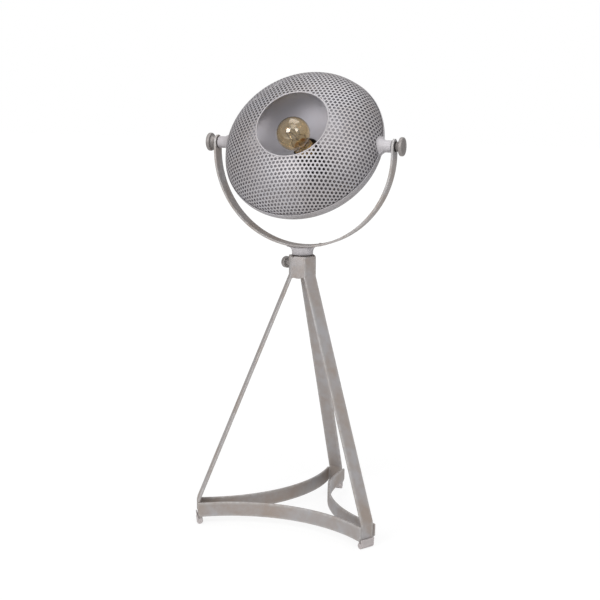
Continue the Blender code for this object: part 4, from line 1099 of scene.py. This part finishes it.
class LAMP_OT_dome(bpy.types.Operator):
    """Builds the perforated dome: a flat sheet with staggered round holes, pressed to shape."""

    bl_idname = "lamp.dome"
    bl_label = "Perforated Dome"

    def place(self, point):
        """Distance of a point from the head's axis, and its height along that axis."""
        way = point - PIVOT
        level = way.dot(HEAD_AXIS)
        return (way - HEAD_AXIS * level).length, level

    def execute(self, context):
        h = context.scene.lamp_head
        flat, r_table, z_table = dome_table(h)
        edge = h.opening + h.rim_bead * 0.3
        inner = float(np.interp(edge, r_table, flat))
        outer = float(flat[-1])
        pitch = h.hole_pitch
        row = pitch * math.sqrt(3) / 2
        hole = h.hole_diameter / 2
        sides = 12
        grid = 2e5
        smallest_face = 2e-8
        shape = bmesh.new()
        known = {}
        spin = Matrix.Rotation(h.hole_turn, 2)

        def vertex(x, y):
            x, y = spin @ Vector((x, y))
            distance = math.hypot(x, y)
            limited = min(outer, max(inner, distance))
            if distance > 0:
                x, y = x * limited / distance, y * limited / distance
            key = (round(x * grid), round(y * grid))
            if key not in known:
                known[key] = shape.verts.new((x, y, 0.0))
            return known[key]

        rows = int(outer / row) + 2
        across = int(outer / pitch) + 2
        turn = math.tau / sides
        for j in range(-rows, rows + 1):
            for i in range(-across, across + 1):
                cx = (i + 0.5 * (j % 2)) * pitch + h.hole_shift_x
                cy = j * row + h.hole_shift_y
                reach = math.hypot(cx, cy)
                if reach > outer + pitch * 0.6 or reach < inner - pitch * 0.6:
                    continue
                rim, cell = [], []
                for k in range(sides):
                    a = k * turn
                    far = pitch / 2 if k % 2 == 0 else pitch / math.sqrt(3)
                    rim.append(vertex(cx + hole * math.cos(a), cy + hole * math.sin(a)))
                    cell.append(vertex(cx + far * math.cos(a), cy + far * math.sin(a)))
                for k in range(sides):
                    n = (k + 1) % sides
                    corners = []
                    for corner in (rim[k], cell[k], cell[n], rim[n]):
                        if corner not in corners:
                            corners.append(corner)
                    if len(corners) < 3:
                        continue
                    if abs(polygon_area(corners)) < smallest_face:
                        continue
                    try:
                        shape.faces.new(corners)
                    except ValueError:
                        continue
        loose = [v for v in shape.verts if not v.link_faces]
        bmesh.ops.delete(shape, geom=loose, context="VERTS")
        bmesh.ops.recalc_face_normals(shape, faces=shape.faces)
        if sum(face.normal.z for face in shape.faces) < 0:
            bmesh.ops.reverse_faces(shape, faces=shape.faces)
        head = axes_matrix(PIVOT, HEAD_AXIS)
        walls = {}
        outside = list(shape.verts)
        for v in outside:
            distance = math.hypot(v.co.x, v.co.y)
            r = float(np.interp(distance, flat, r_table))
            z = float(np.interp(distance, flat, z_table))
            ux, uy = v.co.x / distance, v.co.y / distance
            slope = Vector((r / h.dome_radius ** 2, z / h.dome_height ** 2)).normalized()
            skin = Vector((ux * r, uy * r, z))
            back = skin - Vector((ux * slope.x, uy * slope.x, slope.y)) * h.sheet
            walls[v] = shape.verts.new(head @ back)
            v.co = head @ skin
        sheet = list(shape.faces)
        rims = [e for e in shape.edges if e.is_boundary]
        for face in sheet:
            shape.faces.new([walls[v] for v in reversed(face.verts)])
        for e in rims:
            face = e.link_faces[0]
            order = list(face.verts)
            first, second = e.verts
            if order[(order.index(first) + 1) % len(order)] is second:
                first, second = second, first
            shape.faces.new((first, second, walls[second], walls[first]))
        mesh = bpy.data.meshes.new("dome")
        shape.to_mesh(mesh)
        shape.free()
        mesh.shade_smooth()
        mesh.set_sharp_from_angle(angle=math.radians(45))
        obj = put("perforated_dome", mesh, ["head", "inside"], "head", "head_paint", "front_grille")
        # The dome's inner faces take the darker inside finish: painted shade behind the holes.
        for face in obj.data.polygons:
            out, level = self.place(face.center)
            middle = h.dome_height - h.sheet * 0.4
            limit = (h.dome_radius - h.sheet * 0.4) * math.sqrt(max(0.0, 1 - (level / middle) ** 2))
            face.material_index = 1 if out < limit else 0
        return {"FINISHED"}


def polygon_area(corners):
    """Signed area of a flat polygon of vertices."""
    total = 0.0
    for first, second in zip(corners, corners[1:] + corners[:1]):
        total += first.co.x * second.co.y - second.co.x * first.co.y
    return total / 2


class LAMP_OT_opening_rim(bpy.types.Operator):
    """Builds the rolled rim of the round opening."""

    bl_idname = "lamp.opening_rim"
    bl_label = "Opening Rim"

    def execute(self, context):
        h = context.scene.lamp_head
        level = h.dome_height * math.sqrt(1 - (h.opening / h.dome_radius) ** 2)
        bead = arc((h.opening, level - 0.0001), h.rim_bead / 2, 0, 360, 16)[:-1]
        mesh = turned("opening_rim", bead, PIVOT, HEAD_AXIS, 160, loop=True, sharp=60.0)
        put("opening_rim_rolled", mesh, "rim", "head", "head_paint", "opening_rim")
        return {"FINISHED"}


class LAMP_OT_trunnions(bpy.types.Operator):
    """Builds the bosses at the rim, with their welds flared onto the head."""

    bl_idname = "lamp.trunnions"
    bl_label = "Trunnions"

    def execute(self, context):
        h = context.scene.lamp_head
        head = axes_matrix(PIVOT, HEAD_AXIS)
        boss = h.trunnion / 2
        reach = h.trunnion_flare
        bore = 0.0034
        rise = 0.0042
        steps = 72

        def skin(up, out):
            """Distance of the head's surface from its axis plane, up and out from the tilt axis."""
            if out >= h.bowl_lip:
                radius = h.dome_radius * math.sqrt(max(0.0, 1 - (out / h.dome_height) ** 2))
            elif out >= 0:
                radius = h.radius
            else:
                radius = h.radius * math.sqrt(max(0.0, 1 - (out / h.bowl_depth) ** 2))
            return math.sqrt(max(0.0, radius ** 2 - up * up))

        for sign, side in ((-1, "left"), (1, "right")):
            rings, uv = [], []
            spread = [1.0, 0.86, 0.72, 0.58, 0.44, 0.30, 0.17, 0.07, 0.0]
            for index, t in enumerate(spread):
                ring = []
                for k in range(steps):
                    a = math.tau * k / steps
                    lump = 1.0 + 0.05 * noise.noise(Vector((math.cos(a), math.sin(a), sign * 2.0)))
                    r = boss + (reach * lump - boss) * t
                    up, out = r * math.sin(a), r * math.cos(a)
                    ground = skin(up, out)
                    top = h.radius + rise
                    lift = (1 - t) ** 2.2
                    x = ground + 0.00005 + (top - ground) * lift
                    ring.append(head @ Vector((sign * x, up, out)))
                rings.append(ring)
                uv.append([(index * 0.002, k * 0.001) for k in range(steps + 1)])
            for x, r in ((h.trunnion_end - 0.0007, boss), (h.trunnion_end - 0.0002, boss - 0.0002),
                         (h.trunnion_end, boss - 0.0007), (h.trunnion_end, bore)):
                ring = []
                for k in range(steps):
                    a = math.tau * k / steps
                    ring.append(head @ Vector((sign * x, r * math.sin(a), r * math.cos(a))))
                rings.append(ring)
                uv.append([(x, k * 0.001) for k in range(steps + 1)])
            if sign < 0:
                rings = [ring[::-1] for ring in rings]
            mesh = rings_mesh(f"trunnion_{side}", rings, uv, capped=False, sharp=45.0)
            put(f"trunnion_{side}_welded", mesh, "neck", "head", "head_paint", f"trunnion_{side}")
        return {"FINISHED"}


class LAMP_OT_knobs(bpy.types.Operator):
    """Builds the two tilt knobs."""

    bl_idname = "lamp.knobs"
    bl_label = "Tilt Knobs"

    def execute(self, context):
        k = context.scene.lamp_knobs
        neck_end = k.neck_start + k.neck_length
        end = neck_end + k.disc_thickness
        rim = k.disc / 2
        cone = k.cone / 2
        neck = k.neck / 2
        profile = [(0.0, end + k.crown), (rim * 0.35, end + k.crown * 0.9)]
        profile += [(rim * 0.62, end + k.crown * 0.55), (rim * 0.80, end + k.crown * 0.2)]
        profile += arc((rim - k.edge, end - k.edge), k.edge, 88, 0, 7)
        profile += arc((rim - k.edge, neck_end + k.edge), k.edge, 0, -90, 7)
        profile += [(cone + 0.0008, neck_end), (cone, neck_end - 0.0003)]
        for t in (0.2, 0.4, 0.6, 0.8):
            profile.append((cone + (neck - cone) * t ** 0.8, neck_end - k.neck_length * t))
        profile += [(neck, k.neck_start + 0.0005), (neck - 0.0004, k.neck_start)]
        bore, socket_end = 0.0033, k.neck_start + 0.0085
        profile += [(bore, k.neck_start), (bore, socket_end), (0.0, socket_end)]
        for sign, side in ((-1, "left"), (1, "right")):
            axis = Vector((sign, 0.0, 0.0))
            mesh = turned(f"tilt_knob_{side}", profile, PIVOT, axis, 80, edge_wear_and_sheen_weight=0.8)
            put(f"tilt_knob_{side}_turned", mesh, "knob", f"{side}_knob", "knob_metal",
                f"tilt_knob_{side}")
        return {"FINISHED"}


class LAMP_OT_lampholder(bpy.types.Operator):
    """Builds the black lampholder that stands in the bowl."""

    bl_idname = "lamp.lampholder"
    bl_label = "Lampholder"

    def execute(self, context):
        h = context.scene.lamp_head
        high = -h.holder_mouth
        low = high - h.holder_height
        body = h.holder / 2
        cavity = body - h.holder_wall
        floor = low + h.holder_floor
        profile = [(0.0, floor), (cavity, floor), (cavity, high - 0.0006)]
        profile += [(cavity + 0.0005, high), (body - 0.0006, high), (body, high - 0.0006)]
        for z in (0.032, 0.028, 0.024):
            profile += [(body, low + z + 0.0008), (body - 0.0005, low + z + 0.0003),
                        (body - 0.0005, low + z - 0.0003), (body, low + z - 0.0008)]
        foot, bore, bore_depth = 0.0104, 0.0053, 0.0053
        profile += [(body, low + 0.0125), (body - 0.0008, low + 0.0105), (foot, low + 0.0006)]
        profile += [(foot - 0.0006, low), (bore, low), (bore, low + bore_depth), (0.0, low + bore_depth)]
        mesh = turned("lampholder", profile, PIVOT, HEAD_AXIS, 72, sharp=35.0)
        put("lampholder_moulding", mesh, "black", "head", "black_phenolic", "lampholder_body")
        return {"FINISHED"}


class LAMP_OT_bulb(bpy.types.Operator):
    """Builds the bulb: globe, screw cap, stem, wires and filament."""

    bl_idname = "lamp.bulb"
    bl_label = "Bulb"

    def execute(self, context):
        b = context.scene.lamp_bulb
        globe = b.globe / 2
        neck = b.cap / 2 - b.thread_depth - 0.0008
        bottom = b.cap_top - 0.006
        start = -math.degrees(math.acos(neck / globe))
        outside = arc((0.0, b.centre), globe, 90, start, 40)
        inner = globe - b.glass
        inner_neck = neck - b.glass
        inner_start = -math.degrees(math.acos(inner_neck / inner))
        inside = arc((0.0, b.centre), inner, inner_start, 90, 40)
        outside[0] = (0.0, outside[0][1])
        inside[-1] = (0.0, inside[-1][1])
        profile = outside + [(neck, bottom), (inner_neck, bottom)] + inside
        mesh = turned("bulb_globe", profile, BULB_TIP, BULB_AXIS, 96, sharp=50.0)
        put("bulb_globe_blown", mesh, "glass", "bulb", "amber_glass", "bulb_globe")
        self.cap(b)
        self.inner_parts(b)
        return {"FINISHED"}

    def cap(self, b):
        root = b.cap / 2 - b.thread_depth
        top, bottom = b.cap_top, b.cap_top - b.cap_length
        profile = [(root - 0.0005, top), (root + 0.0002, top + 0.0001), (root + 0.0002, top - 0.0006)]
        turns = 4
        steps = 8
        for k in range(turns * steps + 1):
            z = top - 0.0026 - b.thread_pitch * k / steps
            profile.append((root + b.thread_depth * (0.5 - 0.5 * math.cos(math.tau * k / steps)), z))
        profile += [(root, bottom), (root - 0.0005, bottom)]
        mesh = turned("bulb_cap", profile, BULB_TIP, BULB_AXIS, 72, loop=True, sharp=45.0)
        put("bulb_cap_rolled", mesh, "brass", "bulb", "brass", "bulb_cap")

    def inner_parts(self, b):
        axes = axes_matrix(BULB_TIP, BULB_AXIS)
        base = b.cap_top - 0.0065
        top = b.cap_top + 0.0129
        shape = ((0.0, 0.0), (0.0016, 0.0002), (0.0024, 0.0015), (0.0020, 0.0035),
                 (0.0017, 0.0060), (0.0018, 0.0095), (0.0030, 0.0135))
        profile = [(r, top - drop) for r, drop in shape]
        flange, under = 0.0104, base - 0.0009
        profile += [(0.0060, base + 0.0012), (flange, base), (flange, under), (0.0, under)]
        mesh = turned("bulb_stem", profile, BULB_TIP, BULB_AXIS, 40, sharp=60.0)
        put("bulb_stem_pressed", mesh, "clear", "bulb", "amber_glass", "bulb_stem")
        loops = 6
        low, high = b.centre - 0.0065, b.centre + 0.0075
        foot = top - 0.001
        path = [Vector((-0.0011, 0.0, foot)), Vector((-0.0062, 0.0012, low - 0.001))]
        count = loops * 2
        for k in range(count + 1):
            a = math.pi + math.tau * 0.94 * k / count
            r = 0.0072
            path.append(Vector((r * math.cos(a), r * math.sin(a), low if k % 2 else high)))
        path += [Vector((-0.0040, 0.0035, low - 0.001)), Vector((0.0011, 0.0, foot))]
        mesh = wire_mesh("bulb_filament", [axes @ p for p in path], b.wire)
        put("bulb_filament_wound", mesh, "wire", "bulb", "steel", "bulb_filament")
        for index, angle in enumerate((40, 160, 280)):
            way = radial(math.radians(angle))
            path = [way * 0.0004 + UP * (top - 0.0003), way * 0.0014 + UP * b.centre]
            path.append(way * 0.0070 + UP * (high - 0.0004))
            mesh = wire_mesh("support", [axes @ p for p in path], b.wire * 0.6)
            put(f"bulb_support_{index}", mesh, "wire", "bulb", "steel")


def wire_mesh(name, path, radius, sides=8):
    """A round wire along a smooth line through the given points."""
    curve = bpy.data.curves.new(name, "CURVE")
    curve.dimensions = "3D"
    curve.bevel_depth = radius
    curve.bevel_resolution = max(0, sides // 4 - 1)
    curve.use_fill_caps = True
    spline = curve.splines.new("BEZIER")
    spline.bezier_points.add(len(path) - 1)
    for point, place in zip(spline.bezier_points, path):
        point.co = place
        point.handle_left_type = point.handle_right_type = "AUTO"
    holder = bpy.data.objects.new(name, curve)
    bpy.context.scene.collection.objects.link(holder)
    bpy.context.view_layer.update()
    graph = bpy.context.evaluated_depsgraph_get()
    mesh = bpy.data.meshes.new_from_object(holder.evaluated_get(graph))
    bpy.data.objects.remove(holder, do_unlink=True)
    mesh.shade_smooth()
    return mesh


class LAMP_OT_welds(bpy.types.Operator):
    """Builds the weld beads between the straps and the legs."""

    bl_idname = "lamp.welds"
    bl_label = "Welds"

    def execute(self, context):
        s = context.scene.lamp_stand
        foot = s.foot_radius - s.bar_thickness
        side = s.bar_width / 2
        for name, angle in LEGS:
            out = radial(math.radians(angle))
            across = UP.cross(out)
            for sign in (-1, 1):
                base = STAND_AXIS + out * (foot - 0.0001) + across * sign * (side + 0.0001)
                path = []
                for k in range(15):
                    z = s.strap_bottom + 0.0015 + (s.strap_height - 0.003) * k / 14
                    jitter = 0.00025 * noise.noise(Vector((angle, sign * 4.0, k * 1.3)))
                    path.append(base + UP * z + out * jitter)
                mesh = wire_mesh("weld", path, 0.0009, 12)
                label = "left" if sign < 0 else "right"
                put(f"{name}_weld_{label}", mesh, "weld", "stand", "zinc_paint")
        return {"FINISHED"}


class LAMP_OT_hardware(bpy.types.Operator):
    """Finishes the small hardware whose solids are kept as they are."""

    bl_idname = "lamp.hardware"
    bl_label = "Hardware"

    kept = {
        "steel": ("swivel_pin", "retaining_washer", "retaining_nut", "tilt_stud_left",
                  "tilt_stud_right", "spacer_washer", "nipple_nut", "threaded_nipple"),
        "fibre": ("friction_washer", "pivot_washer_left", "pivot_washer_right",
                  "knob_washer_left", "knob_washer_right"),
        "black": ("cord_inlet_bush", "bulb_insulator"),
        "brass": ("lampholder_sleeve", "lampholder_contact", "bulb_contact"),
        "bar": ("hub_tube",),
    }

    def execute(self, context):
        for finish, nodes in self.kept.items():
            for node in nodes:
                obj = FRAME["nodes"][node]
                obj.data.materials.clear()
                obj.data.materials.append(finish_of(finish))
                obj.data.shade_smooth()
                obj.data.set_sharp_from_angle(angle=math.radians(30))
        return {"FINISHED"}


class LAMP_OT_finishes(bpy.types.Operator):
    """Makes the lamp's finishes."""

    bl_idname = "lamp.finishes"
    bl_label = "Finishes"

    def execute(self, context):
        c = context.scene.lamp_finish
        FINISHES.update(
            bar=bar_finish(c),
            head=head_finish(c, "head paint", c.head_paint, 0.47, 0.50),
            # Inside finish: satin metal, darker grey as painted shade inside the head.
            inside=head_finish(c, "head inside paint with painted shade", c.head_inside, 0.36, 0.90),
            # The rim and the neck finish take the lighter copy of the grey: painted highlight on the rim,
            # painted light on the neck and trunnions.
            rim=head_finish(c, "rolled rim paint with painted highlight", c.neck_paint, 0.42, 0.50),
            neck=head_finish(c, "neck paint", c.neck_paint, 0.50, 0.30),
            knob=knob_finish(c),
            weld=weld_finish(c),
            vinyl=vinyl_finish(c),
            glass=glass_finish(c),
            clear=plain_finish("stem glass", (0.80, 0.62, 0.36), 0.1),
            brass=plain_finish("brass", c.brass, 0.30, 1.0),
            steel=plain_finish("bright steel", (0.52, 0.52, 0.52), 0.30, 1.0),
            wire=plain_finish("filament wire", (0.10, 0.07, 0.05), 0.45, 0.4),
            fibre=plain_finish("dark fibre", (0.035, 0.030, 0.028), 0.75),
            black=plain_finish("black moulding", (0.012, 0.012, 0.013), 0.28),
        )
        return {"FINISHED"}


class LAMP_OT_stage(bpy.types.Operator):
    """Sets the pale floor, the soft lights and the camera."""

    bl_idname = "lamp.stage"
    bl_label = "Stage"

    def execute(self, context):
        self.floor()
        self.lights(context.scene)
        self.camera(context.scene, context.scene.lamp_studio)
        context.scene.view_settings.view_transform = "Standard"
        return {"FINISHED"}

    def floor(self):
        mesh = bpy.data.meshes.new("floor")
        half, level = 12.0, -0.0005
        corners = [(-half, -half, level), (half, -half, level), (half, half, level), (-half, half, level)]
        mesh.from_pydata(corners, [], [(0, 1, 2, 3)])
        floor = bpy.data.objects.new("floor", mesh)
        bpy.context.scene.collection.objects.link(floor)
        pale = Surface("pale floor")
        pale.set(base_color=(0.90, 0.90, 0.90), roughness=0.9)
        path = pale.tree.nodes.new("ShaderNodeLightPath")
        seen = Value(pale, path.outputs["Is Camera Ray"])
        away = pale.node("ShaderNodeVectorMath", [pale.place()], output=1, operation="LENGTH")
        fade = pale.ramp(away, (0.25, 0.0), (0.70, 1.0))
        white = pale.node("ShaderNodeEmission", {"Color": (1.0, 1.0, 1.0), "Strength": 1.05})
        mixed = pale.node(
            "ShaderNodeMixShader",
            {0: seen * (0.80 + 0.20 * fade), 1: Value(pale, pale.shader.outputs[0]), 2: white},
        )
        output = pale.tree.nodes["Material Output"]
        pale.tree.links.new(mixed.socket, output.inputs["Surface"])
        mesh.materials.append(pale.material)

    def lights(self, scene):
        world = bpy.data.worlds.new("studio")
        scene.world = world
        world.use_nodes = True
        tree = world.node_tree
        tree.nodes.clear()
        path = tree.nodes.new("ShaderNodeLightPath")
        plain = tree.nodes.new("ShaderNodeBackground")
        plain.inputs["Color"].default_value = (1.0, 1.0, 1.0, 1.0)
        plain.inputs["Strength"].default_value = 0.52
        white = tree.nodes.new("ShaderNodeBackground")
        white.inputs["Strength"].default_value = 1.0
        white.inputs["Color"].default_value = (1.0, 1.0, 1.0, 1.0)
        mix = tree.nodes.new("ShaderNodeMixShader")
        output = tree.nodes.new("ShaderNodeOutputWorld")
        tree.links.new(path.outputs["Is Camera Ray"], mix.inputs[0])
        tree.links.new(plain.outputs[0], mix.inputs[1])
        tree.links.new(white.outputs[0], mix.inputs[2])
        tree.links.new(mix.outputs[0], output.inputs["Surface"])
        centre = Vector((0.0, 0.0, 0.45))
        for name, place, size, power in (
            ("key softbox", (-0.40, -1.52, 1.18), (0.75, 0.75), 12.0),
            ("fill softbox", (1.13, -1.10, 1.32), (0.6, 0.6), 5.0),
            ("front softbox", (0.44, -1.20, 2.00), (1.1, 1.1), 5.0),
            ("top softbox", (0.0, 0.2, 2.0), (1.2, 1.2), 8.0),
        ):
            lamp = bpy.data.lights.new(name, "AREA")
            lamp.shape = "RECTANGLE"
            lamp.size, lamp.size_y = size
            lamp.energy = power
            obj = bpy.data.objects.new(name, lamp)
            scene.collection.objects.link(obj)
            obj.location = place
            obj.rotation_mode = "QUATERNION"
            obj.rotation_quaternion = (Vector(place) - centre).to_track_quat("Z", "Y")

    def camera(self, scene, c):
        data = bpy.data.cameras.new("camera")
        data.lens = c.lens
        data.sensor_width = 36.0
        data.clip_end = 100.0
        obj = bpy.data.objects.new("camera", data)
        scene.collection.objects.link(obj)
        scene.camera = obj
        turn = c.azimuth + c.aim
        ahead = Vector((-math.sin(turn) * math.cos(c.pitch), math.cos(turn) * math.cos(c.pitch),
                        -math.sin(c.pitch)))
        right = Vector((math.cos(turn), math.sin(turn), 0.0))
        top = right.cross(ahead)
        x = right * math.cos(c.roll) + top * math.sin(c.roll)
        y = top * math.cos(c.roll) - right * math.sin(c.roll)
        matrix = Matrix((x, y, -ahead)).transposed().to_4x4()
        matrix.translation = STAND_AXIS + Vector(
            (c.distance * math.sin(c.azimuth), -c.distance * math.cos(c.azimuth), c.height)
        )
        obj.matrix_world = matrix


class LAMP_PT_panel(bpy.types.Panel):
    """Lists the lamp's pieces in the order they are built."""

    bl_idname = "LAMP_PT_panel"
    bl_label = "Table Lamp"
    bl_space_type = "VIEW_3D"
    bl_region_type = "UI"
    bl_category = "Table Lamp"

    def draw(self, context):
        for operator in OPERATORS:
            self.layout.operator(operator.bl_idname)
        for group in SIZES:
            box = self.layout.box()
            box.label(text=group)
            settings = getattr(context.scene, group)
            for name in settings.__annotations__:
                box.prop(settings, name)


SIZES = {
    "lamp_stand": StandSizes,
    "lamp_yoke": YokeSizes,
    "lamp_head": HeadSizes,
    "lamp_knobs": KnobSizes,
    "lamp_bulb": BulbSizes,
    "lamp_finish": FinishColours,
    "lamp_studio": StudioSettings,
}
OPERATORS = (
    LAMP_OT_finishes,
    LAMP_OT_legs,
    LAMP_OT_base_straps,
    LAMP_OT_foot_pads,
    LAMP_OT_hub,
    LAMP_OT_lock_screw,
    LAMP_OT_neck,
    LAMP_OT_yoke,
    LAMP_OT_bowl,
    LAMP_OT_dome,
    LAMP_OT_opening_rim,
    LAMP_OT_trunnions,
    LAMP_OT_knobs,
    LAMP_OT_lampholder,
    LAMP_OT_bulb,
    LAMP_OT_welds,
    LAMP_OT_hardware,
    LAMP_OT_stage,
)


def register():
    for cls in (*SIZES.values(), *OPERATORS, LAMP_PT_panel):
        bpy.utils.register_class(cls)
    for name, cls in SIZES.items():
        setattr(bpy.types.Scene, name, PointerProperty(type=cls))


def unregister():
    for name in SIZES:
        delattr(bpy.types.Scene, name)
    for cls in reversed((*SIZES.values(), *OPERATORS, LAMP_PT_panel)):
        bpy.utils.unregister_class(cls)


def main():
    register()
    for operator in OPERATORS:
        group, name = operator.bl_idname.split(".")
        getattr(getattr(bpy.ops, group), name)()


if __name__ == "__main__":
    main()
